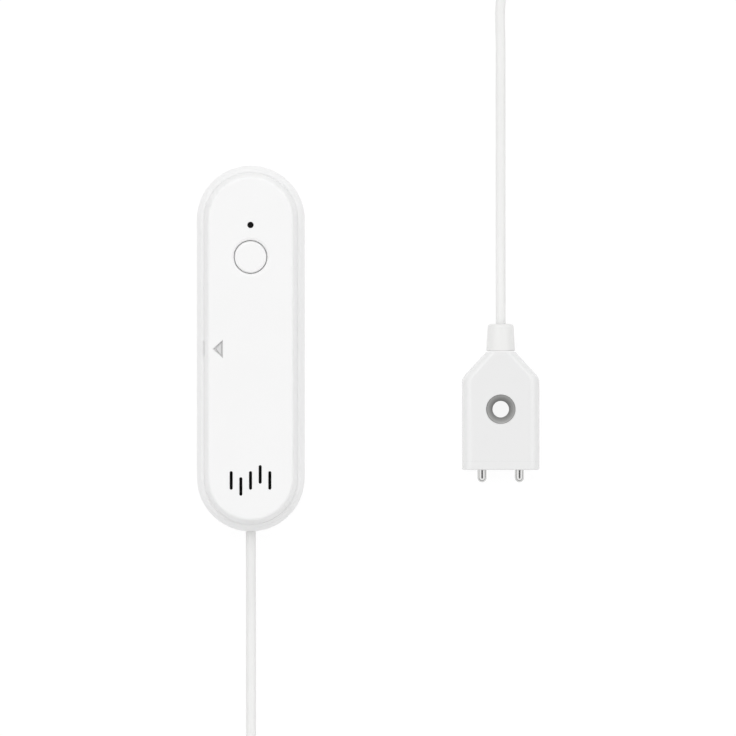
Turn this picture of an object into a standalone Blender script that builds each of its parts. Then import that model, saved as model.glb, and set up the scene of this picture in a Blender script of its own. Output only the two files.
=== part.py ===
# Water leak sensor: a slim alarm unit with a button, a buzzer and two AAA cells,
# and a two-pin contact probe on the end of its cable.
# The unit lies on its back, its front facing +Z and its length along Y.
# The origin is the centre of the mounting pad's face.

import bpy
import bmesh
from math import asin, cos, degrees, pi, radians, sin, sqrt
from mathutils import Vector

# Clearances
seat_gap = 0.0003
button_travel = 0.0004
floor_gap = 0.0001

# Cells and their tray
cell_diameter = 0.0105
cell_length = 0.0445
cell_nub_radius = 0.0019
cell_nub_height = 0.0010
cell_edge_round = 0.0005
cell_spacing = 0.0002
tray_wall = 0.0008
tray_end_wall = 0.0010
tray_height = 0.0061
contact_space = 0.0027
contact_sheet = 0.0003
contact_width = 0.0080
contact_height = 0.0074
contact_nub_radius = 0.0016
contact_proud = 0.0010
rail_lip = 0.0007
rail_overlap = 0.0006
saddle_rise = 0.0003
saddle_height = 0.0034
saddle_thickness = 0.0012
saddle_from_middle = 0.0140
spring_wire_radius = 0.00025
spring_wide_radius = 0.0026
spring_narrow_radius = 0.0013
spring_turns = 2.5

# Mouldings of the alarm unit
shell_wall = 0.0018
shell_floor = 0.0018
shell_back_round = 0.0020
shell_shoulder_round = 0.0016
shell_inner_round = 0.0010
cover_wall = 0.0016
cover_height = 0.0070
cover_lean = 0.0007
cover_edge_round = 0.0014
skirt_depth = 0.0035
skirt_to_tray = 0.0008
cell_to_cover = 0.0004
tongue_length = 0.0060
tongue_thickness = 0.0010
tongue_depth = 0.0025
rib_width = 0.0012
rib_depth = 0.0013
rib_pitch = 0.0180
cover_rib_width = 0.0012
cover_rib_depth = 0.0024

# Mounting pad
pad_thickness = 0.0008
pad_recess = 0.0005
pad_length = 0.060
pad_width = 0.020

# Board and what it carries
board_thickness = 0.0012
board_edge_gap = 0.0005
boss_height = 0.0012
boss_radius = 0.0026
screw_radius = 0.0010
screw_head_radius = 0.0019
screw_crown_radius = 0.0013
screw_head_height = 0.0012
screw_length = 0.0026
screw_edge = 0.0038
screw_from_tray = 0.0034
switch_side = 0.0060
switch_height = 0.0035
plunger_radius = 0.00175
plunger_depth = 0.0012
plunger_reach = 0.0024
tray_to_switch = 0.00265
switch_to_led = 0.0096
led_length = 0.0030
led_width = 0.0016
led_height = 0.0012
led_to_radio = 0.0032
radio_length = 0.0090
radio_width = 0.0100
radio_thickness = 0.0008
radio_edge = 0.0010
shield_inset = 0.0008
shield_height = 0.0018
chip_side = 0.0050
chip_height = 0.0009
drive_coil_side = 0.0040
drive_coil_height = 0.0021
chip_edge = 0.0029
switch_to_chip = 0.0058

# Buzzer and its seal
buzzer_radius = 0.0080
buzzer_height = 0.0075
buzzer_port_radius = 0.0010
buzzer_port_depth = 0.0015
buzzer_drop = 0.0008
buzzer_to_tray = 0.0015
gasket_wall = 0.0011
collar_wall = 0.0008
collar_depth = 0.0022

# Openings and marks in the cover
button_radius = 0.0048
button_round = 0.0003
button_flange = 0.0011
button_flange_height = 0.0008
button_stem_radius = 0.0020
pipe_radius = 0.00065
pipe_recess = 0.0003
pipe_collar = 0.0008
pipe_boss_wall = 0.0010
pipe_boss_length = 0.0030
slot_count = 5
slot_pitch = 0.0029
slot_width = 0.0010
slot_length = 0.0057
slot_steps = (0.0, -0.0018, 0.0, 0.0018, 0.0)
arrow_width = 0.0029
arrow_height = 0.0050
arrow_edge = 0.0013
arrow_depth = 0.0003
notch_length = 0.0048
notch_depth = 0.0008
notch_height = 0.0010

# Cable, its grommet and its leads inside the unit
cable_radius = 0.0015
grommet_wall = 0.0008
grommet_flange = 0.0008
grommet_lift = 0.0007
grommet_flange_length = 0.0012
cheek_thickness = 0.0012
lead_radius = 0.0005
lead_pitch = 0.0013
lead_to_buzzer = 0.0005
header_length = 0.0030
header_width = 0.0040
header_height = 0.0028
plug_height = 0.0024
header_edge = 0.0036

# Probe
probe_x = 0.0752
probe_top = -0.00105
probe_length = 0.03525
probe_width = 0.0233
probe_thickness = 0.0090
probe_round = 0.0033
probe_neck_width = 0.0089
probe_shoulder_length = 0.0078
shoulder_soften = 0.0012
end_cap_length = 0.0024
end_cap_round = 0.0004
pin_radius = 0.0014
pin_spacing = 0.01125
pin_reach = 0.0040
pin_depth = 0.0060
eyelet_radius = 0.0045
eyelet_bore_radius = 0.0025
eyelet_sink = 0.0010
eyelet_tube_wall = 0.0007
eyelet_rim = 0.0004
eyelet_lip = 0.0005
eyelet_drop = 0.0172
boot_length = 0.0082
boot_base_radius = 0.0043
boot_tip_radius = 0.0039
boot_round = 0.0010

# Cable coil and its tie
coil_x = 0.0210
coil_y = -0.14125
coil_inner_radius = 0.0135
coil_outer_radius = 0.0225
coil_layers = 2
coil_round = 0.0012
tie_thickness = 0.0007
tie_angle = 65.0
tie_spread = 8.0

# Facet counts
arc_steps = 20
round_sides = 32
small_sides = 16
spring_sides = 12

# Places worked out from the sizes above
bay_half = cell_spacing / 2 + cell_diameter + seat_gap
tray_half = bay_half + tray_wall
skirt_inner = tray_half + skirt_to_tray
cover_radius = skirt_inner + cover_wall
opening_radius = cover_radius + seat_gap
unit_radius = opening_radius + shell_wall
board_radius = opening_radius - rib_depth - board_edge_gap

shell_back = pad_thickness - pad_recess
recess_top = shell_back + pad_recess
floor_top = shell_back + shell_floor
boss_top = floor_top + boss_height
board_bottom = boss_top + seat_gap
board_top = board_bottom + board_thickness
part_base = board_top + seat_gap
tray_floor_top = part_base + tray_wall
cell_bottom = tray_floor_top + saddle_rise + seat_gap
cell_centre = cell_bottom + cell_diameter / 2
cover_inside = cell_bottom + cell_diameter + cell_to_cover
face_top = cover_inside + cover_wall
seam = face_top - cover_height
skirt_bottom = seam - skirt_depth

bay_length = cell_length + 2 * contact_space
tray_length = bay_length + 2 * tray_end_wall
radio_corner = sqrt((board_radius - radio_edge) ** 2 - (radio_width / 2) ** 2)
buzzer_part = buzzer_radius + buzzer_to_tray - buzzer_drop
switch_part = tray_to_switch + switch_side / 2 + switch_to_led
radio_part = led_to_radio + radio_length - radio_corner
spine = buzzer_part + tray_length + switch_part + radio_part
unit_end = spine / 2 + unit_radius

buzzer_y = -spine / 2 - buzzer_drop
tray_low = -spine / 2 + buzzer_part
tray_high = tray_low + tray_length
cell_low = tray_low + tray_end_wall + contact_space
cell_high = cell_low + cell_length
cell_x = (cell_spacing + cell_diameter) / 2
button_y = tray_high + tray_to_switch + switch_side / 2
led_y = button_y + switch_to_led
radio_y = led_y + led_to_radio + radio_length / 2
switch_top = part_base + switch_height
plunger_top = switch_top + plunger_reach
screw_x = board_radius - screw_edge
chip_x = board_radius - chip_edge - chip_side / 2
chip_y = button_y + switch_to_chip
header_x = board_radius - header_edge
header_y = tray_low - screw_from_tray
header_top = part_base + header_height
plug_top = header_top + seat_gap + plug_height

probe_mid = probe_thickness / 2
probe_bottom = probe_top - probe_length
end_cap_top = probe_bottom + end_cap_length
coil_bottom = tie_thickness + seat_gap
coil_height = coil_layers * 2 * cable_radius
cable_rest = cable_radius + floor_gap
grommet_radius = cable_radius + seat_gap + grommet_wall
flange_radius = grommet_radius + grommet_flange
cable_height = floor_top + grommet_lift + flange_radius


# Scene and materials

def clear_scene():
    for thing in list(bpy.data.objects):
        bpy.data.objects.remove(thing, do_unlink=True)


def plastic_or_metal(name, colour, roughness, metallic=0.0):
    made = bpy.data.materials.new(name)
    made.use_nodes = True
    shader = made.node_tree.nodes["Principled BSDF"]
    shader.inputs["Base Color"].default_value = (*colour, 1.0)
    shader.inputs["Roughness"].default_value = roughness
    shader.inputs["Metallic"].default_value = metallic
    return made


def group(name, place):
    """An empty that a group of pieces is parented to."""
    empty = bpy.data.objects.new(name, None)
    empty.location = place
    bpy.context.scene.collection.objects.link(empty)
    return empty


def piece(name, bm, finish, parent=None, place=(0, 0, 0)):
    """Turn a bmesh into a smooth-shaded object at its place."""
    bmesh.ops.recalc_face_normals(bm, faces=bm.faces)
    mesh = bpy.data.meshes.new(name)
    bm.to_mesh(mesh)
    bm.free()
    mesh.shade_smooth()
    mesh.set_sharp_from_angle(angle=radians(32))
    made = bpy.data.objects.new(name, mesh)
    made.location = place
    made.parent = parent
    if finish:
        mesh.materials.append(finish)
    bpy.context.scene.collection.objects.link(made)
    return made


def shape_by(target, operation, bm, place=(0, 0, 0)):
    """Cut a helper shape out of a piece, or join it on."""
    helper = piece(target.name + "_helper", bm, None, target.parent, place)
    helper.hide_render = True
    helper.display_type = "WIRE"
    step = target.modifiers.new(helper.name, "BOOLEAN")
    step.operation = operation
    step.solver = "EXACT"
    step.object = helper


def cut(target, bm, place=(0, 0, 0)):
    shape_by(target, "DIFFERENCE", bm, place)


def join(target, bm, place=(0, 0, 0)):
    shape_by(target, "UNION", bm, place)


# Shapes

def skin(rings, loop=False):
    """Skin a row of rings with faces, and cap its two ends unless the row closes on itself."""
    bm = bmesh.new()
    rows = [[bm.verts.new(point) for point in ring] for ring in rings]
    pairs = list(zip(rows, rows[1:]))
    if loop:
        pairs.append((rows[-1], rows[0]))
    for low, high in pairs:
        for i in range(len(low)):
            j = (i + 1) % len(low)
            bm.faces.new((low[i], low[j], high[j], high[i]))
    if not loop:
        bm.faces.new(list(reversed(rows[0])))
        bm.faces.new(rows[-1])
    return bm


def arc(centre, radius, start, stop, steps):
    """Points of an arc in a section plane, from one angle to another in degrees."""
    angles = [radians(start + (stop - start) * i / steps) for i in range(steps + 1)]
    return [(centre[0] + radius * cos(a), centre[1] + radius * sin(a)) for a in angles]


def stadium(radius, z, half_spine, steps=arc_steps):
    """A ring with two straight sides along Y and round ends."""
    high = arc((0, half_spine), radius, 0, 180, steps)
    low = arc((0, -half_spine), radius, 180, 360, steps)
    return [Vector((x, y, z)) for x, y in high + low]


def stadium_solid(profile, half_spine, steps=arc_steps):
    return skin([stadium(radius, z, half_spine, steps) for radius, z in profile])


def turned(profile, axis="Z", sides=round_sides, loop=False):
    """A solid turned from (radius, height) points about an axis."""
    rings = []
    for radius, height in profile:
        ring = []
        for i in range(sides):
            a = 2 * pi * i / sides
            if axis == "Z":
                ring.append(Vector((radius * cos(a), radius * sin(a), height)))
            else:
                ring.append(Vector((radius * cos(a), height, -radius * sin(a))))
        rings.append(ring)
    return skin(rings, loop)


def cylinder(radius, low, high, axis="Z", sides=round_sides):
    return turned([(radius, low), (radius, high)], axis, sides)


def block(low, high):
    """A box between two corners."""
    bottom = [(low[0], low[1]), (high[0], low[1]), (high[0], high[1]), (low[0], high[1])]
    return skin([[Vector((x, y, z)) for x, y in bottom] for z in (low[2], high[2])])


def rounded_section(half_width, half_height, radius, y, steps=5):
    """A rounded rectangle in the XZ plane."""
    radius = min(radius, half_width * 0.999, half_height * 0.999)
    ring = []
    corners = [(1, 1, 0), (-1, 1, 90), (-1, -1, 180), (1, -1, 270)]
    for side, level, start in corners:
        centre = (side * (half_width - radius), level * (half_height - radius))
        ring += [Vector((x, y, z)) for x, z in arc(centre, radius, start, start + 90, steps)]
    return ring


def smooth_route(points, step, lowest=0.0):
    """Evenly spaced points on a smooth curve through a route, none below a resting height."""
    knots = [Vector(p) for p in points]
    knots = [2 * knots[0] - knots[1]] + knots + [2 * knots[-1] - knots[-2]]
    dense = []
    for a, b, c, d in zip(knots, knots[1:], knots[2:], knots[3:]):
        t1 = (b - a).length ** 0.5
        t2 = t1 + (c - b).length ** 0.5
        t3 = t2 + (d - c).length ** 0.5
        for i in range(24):
            t = t1 + (t2 - t1) * i / 24
            ab = a * (t1 - t) / t1 + b * t / t1
            bc = b * (t2 - t) / (t2 - t1) + c * (t - t1) / (t2 - t1)
            cd = c * (t3 - t) / (t3 - t2) + d * (t - t2) / (t3 - t2)
            abc = ab * (t2 - t) / t2 + bc * t / t2
            bcd = bc * (t3 - t) / (t3 - t1) + cd * (t - t1) / (t3 - t1)
            dense.append(abc * (t2 - t) / (t2 - t1) + bcd * (t - t1) / (t2 - t1))
    dense.append(knots[-2])
    for point in dense:
        point.z = max(point.z, lowest)
    reach = [0.0]
    for here, there in zip(dense, dense[1:]):
        reach.append(reach[-1] + (there - here).length)
    count = max(2, round(reach[-1] / step))
    even = []
    place = 0
    for i in range(count + 1):
        want = reach[-1] * i / count
        while place < len(dense) - 2 and reach[place + 1] < want:
            place += 1
        share = (want - reach[place]) / (reach[place + 1] - reach[place])
        even.append(dense[place].lerp(dense[place + 1], min(share, 1.0)))
    return even


def tube(name, points, radius, finish, parent=None, resolution=2):
    """A round wire or cable as a curve with filled ends."""
    curve = bpy.data.curves.new(name, "CURVE")
    curve.dimensions = "3D"
    curve.bevel_depth = radius
    curve.bevel_resolution = resolution
    curve.use_fill_caps = True
    spline = curve.splines.new("POLY")
    spline.points.add(len(points) - 1)
    for slot, point in zip(spline.points, points):
        slot.co = (*point, 1.0)
    curve.materials.append(finish)
    made = bpy.data.objects.new(name, curve)
    made.parent = parent
    bpy.context.scene.collection.objects.link(made)
    return made


clear_scene()

white_abs = plastic_or_metal("white_abs", (0.86, 0.86, 0.86), 0.38)
white_pvc = plastic_or_metal("white_pvc", (0.84, 0.84, 0.84), 0.5)
dark_lens = plastic_or_metal("dark_lens", (0.01, 0.01, 0.01), 0.15)
stainless_steel = plastic_or_metal("stainless_steel", (0.55, 0.55, 0.55), 0.25, 1.0)
nickel_plate = plastic_or_metal("nickel_plate", (0.62, 0.61, 0.58), 0.3, 1.0)
black_plastic = plastic_or_metal("black_plastic", (0.02, 0.02, 0.02), 0.5)
grey_plastic = plastic_or_metal("grey_plastic", (0.5, 0.5, 0.5), 0.5)
board_laminate = plastic_or_metal("board_laminate", (0.01, 0.12, 0.04), 0.35)
cell_jacket = plastic_or_metal("cell_jacket", (0.05, 0.06, 0.09), 0.3)
foam = plastic_or_metal("foam", (0.3, 0.3, 0.3), 0.95)
black_foam = plastic_or_metal("black_foam", (0.03, 0.03, 0.03), 0.95)
led_resin = plastic_or_metal("led_resin", (0.8, 0.75, 0.5), 0.3)
red_pvc = plastic_or_metal("red_pvc", (0.5, 0.02, 0.02), 0.45)
black_pvc = plastic_or_metal("black_pvc", (0.015, 0.015, 0.015), 0.45)
white_tie = plastic_or_metal("white_tie", (0.75, 0.75, 0.75), 0.8)

unit = group("alarm_unit", (0, 0, 0))
probe = group("probe_head", (probe_x, 0, 0))
half_spine = spine / 2


# Back shell: a moulded tub with ribs that carry the cover and bosses for the board

back_corner = (unit_radius - shell_back_round, shell_back + shell_back_round)
shoulder = (unit_radius - shell_shoulder_round, seam - shell_shoulder_round)
floor_corner = (opening_radius - shell_inner_round, floor_top + shell_inner_round)
shell_profile = arc(back_corner, shell_back_round, -90, 0, 5)
shell_profile += arc(shoulder, shell_shoulder_round, 0, 90, 5)
shell_profile += [(opening_radius, seam)]
shell_profile += arc(floor_corner, shell_inner_round, 0, -90, 3)
back_shell = piece("back_shell", stadium_solid(shell_profile, half_spine), white_abs, unit)

rib_top = skirt_bottom - seat_gap
rib_inner = opening_radius - rib_depth
for side in (-1, 1):
    for place in (-1.5, -0.5, 0.5, 1.5):
        edges = sorted((side * rib_inner, side * (opening_radius + shell_wall / 2)))
        y = place * rib_pitch
        low = (edges[0], y - rib_width / 2, floor_top - shell_floor / 2)
        join(back_shell, block(low, (edges[1], y + rib_width / 2, rib_top)))

screw_places = {
    "upper_left": (-screw_x, tray_high + screw_from_tray),
    "upper_right": (screw_x, tray_high + screw_from_tray),
    "lower_left": (-screw_x, tray_low - screw_from_tray),
}
screw_hole = screw_radius + seat_gap
screw_tip = board_top - screw_length
for x, y in screw_places.values():
    boss = cylinder(boss_radius, floor_top - shell_floor / 2, boss_top, sides=small_sides)
    join(back_shell, boss, (x, y, 0))
    hole = cylinder(screw_hole, screw_tip - seat_gap, boss_top + boss_height, sides=small_sides)
    cut(back_shell, hole, (x, y, 0))

# The cable hole in the lower end, with two cheeks that hold the grommet's flange
wall_inner = -half_spine - opening_radius
flange_outer = -half_spine - sqrt(opening_radius ** 2 - flange_radius ** 2) + seat_gap
flange_inner = flange_outer + grommet_flange_length
cheek_x = flange_radius + seat_gap
for side in (-1, 1):
    edges = sorted((side * cheek_x, side * (cheek_x + cheek_thickness)))
    low = (edges[0], wall_inner - shell_wall / 2, floor_top - shell_floor / 2)
    join(back_shell, block(low, (edges[1], flange_inner, rib_top)))
hole_radius = grommet_radius + seat_gap
hole = cylinder(hole_radius, -unit_end - shell_wall, wall_inner + seat_gap, "Y", small_sides)
cut(back_shell, hole, (0, 0, cable_height))

recess_half = pad_length / 2 - pad_width / 2
recess_wide = pad_width / 2 + seat_gap
recess = stadium_solid([(recess_wide, shell_back - pad_recess), (recess_wide, recess_top)], recess_half)
cut(back_shell, recess)

pad_top = recess_top - seat_gap
pad_profile = [(pad_width / 2, 0.0), (pad_width / 2, pad_top)]
piece("mounting_pad", stadium_solid(pad_profile, recess_half), foam, unit)


# Front cover: a drafted cup whose skirt drops inside the shell's opening

lean_radius = cover_radius - cover_lean
face_radius = lean_radius - cover_edge_round
inside_radius = lean_radius - cover_wall
cover_profile = arc((face_radius, face_top - cover_edge_round), cover_edge_round, 90, 0, 5)
cover_profile += [
    (cover_radius, seam),
    (cover_radius, skirt_bottom),
    (skirt_inner, skirt_bottom),
    (skirt_inner, seam),
]
inside_corner = (inside_radius - cover_edge_round, cover_inside - cover_edge_round)
cover_profile += arc(inside_corner, cover_edge_round, 0, 90, 3)
cover_rise = Vector((0, 0, seam))
cover_rings = [stadium(radius, z, half_spine) for radius, z in cover_profile]
cover_bm = skin([[point - cover_rise for point in ring] for ring in cover_rings])
front_cover = piece("front_cover", cover_bm, white_abs, unit, cover_rise)

for side in (-1, 1):
    for place in (-1, 1):
        edges = sorted((side * skirt_inner, side * (skirt_inner + tongue_thickness)))
        low = (edges[0], place * rib_pitch - tongue_length / 2, skirt_bottom - tongue_depth)
        high = (edges[1], place * rib_pitch + tongue_length / 2, skirt_bottom + cover_wall)
        inset = (cover_wall - tongue_thickness) / 2 * side
        join(front_cover, block(low, high), (inset, 0, 0))

# A notch in the skirt clears the grommet's flange
relief_half = flange_radius + seat_gap
relief_low = (-relief_half, -unit_end, skirt_bottom - cover_wall)
relief_high = (relief_half, -half_spine - skirt_inner + relief_half, cable_height + relief_half)
cut(front_cover, block(relief_low, relief_high))

# A long rib under the face keeps the two cells apart
rib_low = (-cover_rib_width / 2, cell_low + cell_diameter, cover_inside - cover_rib_depth)
rib_high = (cover_rib_width / 2, cell_high - cell_diameter, cover_inside + cover_wall / 2)
join(front_cover, block(rib_low, rib_high))

# A collar under the face grips the buzzer's seal, so that the sound leaves through the slots alone
collar_inner = buzzer_radius + seat_gap
collar_outer = collar_inner + collar_wall
collar_profile = [
    (collar_inner, cover_inside - collar_depth),
    (collar_outer, cover_inside - collar_depth),
    (collar_outer, cover_inside + cover_wall / 2),
    (collar_inner, cover_inside + cover_wall / 2),
]
join(front_cover, turned(collar_profile, loop=True), (0, buzzer_y, 0))

through_low = cover_inside - cover_wall
through_high = face_top + cover_wall
button_hole = button_radius + seat_gap
cut(front_cover, cylinder(button_hole, through_low, through_high, sides=48), (0, button_y, 0))

pipe_hole = pipe_radius + seat_gap
pipe_boss = pipe_hole + pipe_boss_wall
boss_low = cover_inside - pipe_boss_length
boss = cylinder(pipe_boss, boss_low, cover_inside + cover_wall / 2, sides=small_sides)
join(front_cover, boss, (0, led_y, 0))
bore = cylinder(pipe_hole, boss_low - cover_wall, through_high, sides=small_sides)
cut(front_cover, bore, (0, led_y, 0))

for i in range(slot_count):
    x = (i - (slot_count - 1) / 2) * slot_pitch
    depths = [(slot_width / 2, through_low), (slot_width / 2, through_high)]
    slot = stadium_solid(depths, (slot_length - slot_width) / 2, 6)
    cut(front_cover, slot, (x, buzzer_y + slot_steps[i], 0))

arrow_tip = -face_radius + arrow_edge
arrow_back = arrow_tip + arrow_width
arrow = [(arrow_tip, 0), (arrow_back, -arrow_height / 2), (arrow_back, arrow_height / 2)]
arrow_levels = (face_top - arrow_depth, face_top + arrow_depth)
cut(front_cover, skin([[Vector((x, y, z)) for x, y in arrow] for z in arrow_levels]))

notch_low = (-cover_radius - notch_depth, -notch_length / 2, seam - notch_height / 2)
notch_high = (-cover_radius + notch_depth, notch_length / 2, seam + notch_height)
cut(front_cover, block(notch_low, notch_high))


# Button: a round cap with a retaining flange and a stem down to the switch

stem_bottom = plunger_top + seat_gap - face_top
flange_top = cover_inside - seat_gap - face_top
flange_bottom = flange_top - button_flange_height
button_profile = [
    (button_stem_radius, stem_bottom),
    (button_stem_radius, flange_bottom),
    (button_hole + button_flange, flange_bottom),
    (button_hole + button_flange, flange_top),
    (button_radius, flange_top),
]
button_profile += arc((button_radius - button_round, -button_round), button_round, 0, 90, 3)
piece("button_cap", turned(button_profile, sides=48), white_abs, unit, (0, button_y, face_top))

# Light pipe: a clear rod with a collar that seats under the boss
pipe_bottom = part_base + led_height + seat_gap
collar_top = boss_low - seat_gap
pipe_profile = [
    (pipe_radius, pipe_bottom),
    (pipe_radius, collar_top - pipe_collar),
    (pipe_radius + pipe_collar, collar_top - pipe_collar),
    (pipe_radius + pipe_collar, collar_top),
    (pipe_radius, collar_top),
    (pipe_radius, face_top - pipe_recess),
]
piece("light_pipe", turned(pipe_profile, sides=small_sides), dark_lens, unit, (0, led_y, 0))


# Board, fixed with three screws, and the parts soldered to it

board_profile = [(board_radius, board_bottom), (board_radius, board_top)]
main_board = piece("main_board", stadium_solid(board_profile, half_spine), board_laminate, unit)
under_board = board_bottom - board_thickness
over_board = board_top + board_thickness
board_notch_low = (-relief_half, -unit_end, under_board)
cut(main_board, block(board_notch_low, (relief_half, flange_inner + seat_gap, over_board)))
for name, (x, y) in screw_places.items():
    cut(main_board, cylinder(screw_hole, under_board, over_board, sides=small_sides), (x, y, 0))
    head = part_base
    screw_profile = [
        (screw_radius, screw_tip),
        (screw_radius, head),
        (screw_head_radius, head),
        (screw_head_radius, head + screw_head_height / 2),
        (screw_crown_radius, head + screw_head_height),
    ]
    piece("board_screw_" + name, turned(screw_profile, sides=small_sides), stainless_steel, unit, (x, y, 0))

switch_low = (-switch_side / 2, -switch_side / 2, part_base)
switch_high = (switch_side / 2, switch_side / 2, switch_top)
switch_body = piece("switch_body", block(switch_low, switch_high), black_plastic, unit, (0, button_y, 0))
well_bottom = switch_top - plunger_depth - seat_gap - button_travel
well = cylinder(plunger_radius + seat_gap, well_bottom, switch_top + plunger_depth, sides=24)
cut(switch_body, well, (0, button_y, 0))
plunger = cylinder(plunger_radius, -plunger_depth, plunger_reach, sides=24)
piece("switch_plunger", plunger, grey_plastic, unit, (0, button_y, switch_top))

led_low = (-led_length / 2, -led_width / 2, part_base)
led_high = (led_length / 2, led_width / 2, part_base + led_height)
piece("status_led", block(led_low, led_high), led_resin, unit, (0, led_y, 0))

radio_low = (-radio_width / 2, -radio_length / 2, part_base)
radio_high = (radio_width / 2, radio_length / 2, part_base + radio_thickness)
piece("radio_module", block(radio_low, radio_high), board_laminate, unit, (0, radio_y, 0))
shield_base = part_base + radio_thickness + seat_gap
shield_half = radio_width / 2 - shield_inset
shield_low = (-shield_half, -radio_length / 2 + shield_inset, shield_base)
shield_high = (shield_half, radio_length / 2 - shield_inset, shield_base + shield_height)
piece("radio_shield", block(shield_low, shield_high), nickel_plate, unit, (0, radio_y, 0))

for name, side, half, height in (
    ("control_chip", 1, chip_side / 2, chip_height),
    ("drive_coil", -1, drive_coil_side / 2, drive_coil_height),
):
    package = block((-half, -half, part_base), (half, half, part_base + height))
    piece(name, package, black_plastic, unit, (side * chip_x, chip_y, 0))

buzzer_top = part_base + buzzer_height
buzzer_profile = [(buzzer_radius, part_base), (buzzer_radius, buzzer_top), (buzzer_port_radius, buzzer_top)]
buzzer_profile += [(buzzer_port_radius, buzzer_top - buzzer_port_depth)]
piece("buzzer", turned(buzzer_profile), black_plastic, unit, (0, buzzer_y, 0))
gasket_low = buzzer_top + seat_gap
gasket_high = cover_inside - seat_gap
gasket_inner = buzzer_radius - gasket_wall
gasket_profile = [
    (gasket_inner, gasket_low),
    (buzzer_radius, gasket_low),
    (buzzer_radius, gasket_high),
    (gasket_inner, gasket_high),
]
piece("buzzer_gasket", turned(gasket_profile, loop=True), black_foam, unit, (0, buzzer_y, 0))


# Battery tray with its two cells and sprung contacts

tray_top = part_base + tray_height
tray_bm = block((-tray_half, tray_low, part_base), (tray_half, tray_high, tray_top))
battery_tray = piece("battery_tray", tray_bm, black_plastic, unit)
bay_low = (-bay_half, tray_low + tray_end_wall, tray_floor_top)
bay_high = (bay_half, tray_high - tray_end_wall, tray_top + tray_wall)
cut(battery_tray, block(bay_low, bay_high))
finger_low = (-tray_half - tray_wall, -cell_diameter, cell_centre - cell_diameter / 3)
finger_high = (tray_half + tray_wall, cell_diameter, tray_top + tray_wall)
cell_mid = (cell_low + cell_high) / 2
cut(battery_tray, block(finger_low, finger_high), (0, cell_mid, 0))

# Saddles across the tray's floor cradle both cells
cell_radius = cell_diameter / 2
cradle = cell_radius + seat_gap
saddle_edge = bay_half + tray_wall / 2
saddle_base = tray_floor_top - tray_wall / 2
saddle_top = tray_floor_top + saddle_height
dip = degrees(asin((cell_centre - saddle_top) / cradle))
saddle = [(-saddle_edge, saddle_base), (saddle_edge, saddle_base), (saddle_edge, saddle_top)]
saddle += arc((cell_x, cell_centre), cradle, -dip, dip - 180, 10)
saddle += arc((-cell_x, cell_centre), cradle, -dip, dip - 180, 10)
saddle.append((-saddle_edge, saddle_top))
for side in (-1, 1):
    middle = cell_mid + side * saddle_from_middle
    faces = (middle - saddle_thickness / 2, middle + saddle_thickness / 2)
    join(battery_tray, skin([[Vector((x, y, z)) for x, z in saddle] for y in faces]))

cell_profile = [
    (cell_radius - cell_edge_round, -cell_length / 2),
    (cell_radius, -cell_length / 2 + cell_edge_round),
    (cell_radius, cell_length / 2 - cell_nub_height - cell_edge_round),
    (cell_radius - cell_edge_round, cell_length / 2 - cell_nub_height),
    (cell_nub_radius, cell_length / 2 - cell_nub_height),
    (cell_nub_radius, cell_length / 2),
]
for name, side in (("cell_left", -1), ("cell_right", 1)):
    place = (side * cell_x, cell_mid, cell_centre)
    cell = piece(name, turned(cell_profile, "Y", 24), cell_jacket, unit, place)
    cell.rotation_euler = (0, 0, 0 if side < 0 else pi)

sheet_low = cell_centre - contact_height / 2
sheet_high = cell_centre + contact_height / 2
rail_top = sheet_high - contact_proud


def contact_rails(y_wall, inward, sheets):
    """An end wall raised behind its contact sheets, with grooved posts that they slide into."""
    wall = sorted((y_wall - inward * tray_end_wall, y_wall))
    join(battery_tray, block((-saddle_edge, wall[0], saddle_base), (saddle_edge, wall[1], rail_top)))
    posts = [(-saddle_edge, sheets[0][0] + rail_overlap)]
    for left, right in zip(sheets, sheets[1:]):
        posts.append((left[1] - rail_overlap, right[0] + rail_overlap))
    posts.append((sheets[-1][1] - rail_overlap, saddle_edge))
    front = y_wall + inward * (contact_sheet + 2 * seat_gap)
    depth = sorted((y_wall - inward * tray_end_wall / 2, front + inward * rail_lip))
    for low, high in posts:
        join(battery_tray, block((low, depth[0], saddle_base), (high, depth[1], rail_top)))
    groove = sorted((y_wall, front))
    for low, high in sheets:
        groove_low = (low - seat_gap, groove[0], sheet_low - seat_gap)
        cut(battery_tray, block(groove_low, (high + seat_gap, groove[1], rail_top + tray_wall)))


def contact_sheet_at(name, x_low, x_high, y_wall, inward):
    """A sprung contact's sheet, standing against one end wall of the tray."""
    levels = sorted((y_wall + inward * seat_gap, y_wall + inward * (seat_gap + contact_sheet)))
    sheet = block((x_low, levels[0], sheet_low), (x_high, levels[1], sheet_high))
    return piece(name, sheet, nickel_plate, unit)


def contact_nub(target, x, y_wall, inward, nub_end):
    """A pressed dimple that meets the cell's positive nub."""
    levels = sorted((y_wall + inward * (seat_gap + contact_sheet / 2), nub_end))
    profile = [(contact_nub_radius, levels[0]), (contact_nub_radius, levels[1])]
    join(target, turned(profile, "Y", small_sides), (x, 0, cell_centre))


def contact_spring(name, x, y_wall, inward, cell_end):
    """A cone of wire between a contact sheet and the cell's flat end."""
    start = y_wall + inward * (2 * seat_gap + contact_sheet + spring_wire_radius)
    stop = cell_end - inward * (seat_gap + spring_wire_radius)
    steps = round(spring_turns * spring_sides)
    coil = []
    for i in range(steps + 1):
        share = i / steps
        radius = spring_wide_radius + (spring_narrow_radius - spring_wide_radius) * share
        a = 2 * pi * spring_turns * share
        y = start + (stop - start) * share
        coil.append(Vector((x + radius * cos(a), y, cell_centre + radius * sin(a))))
    tube(name, coil, spring_wire_radius, nickel_plate, unit, 1)


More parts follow.
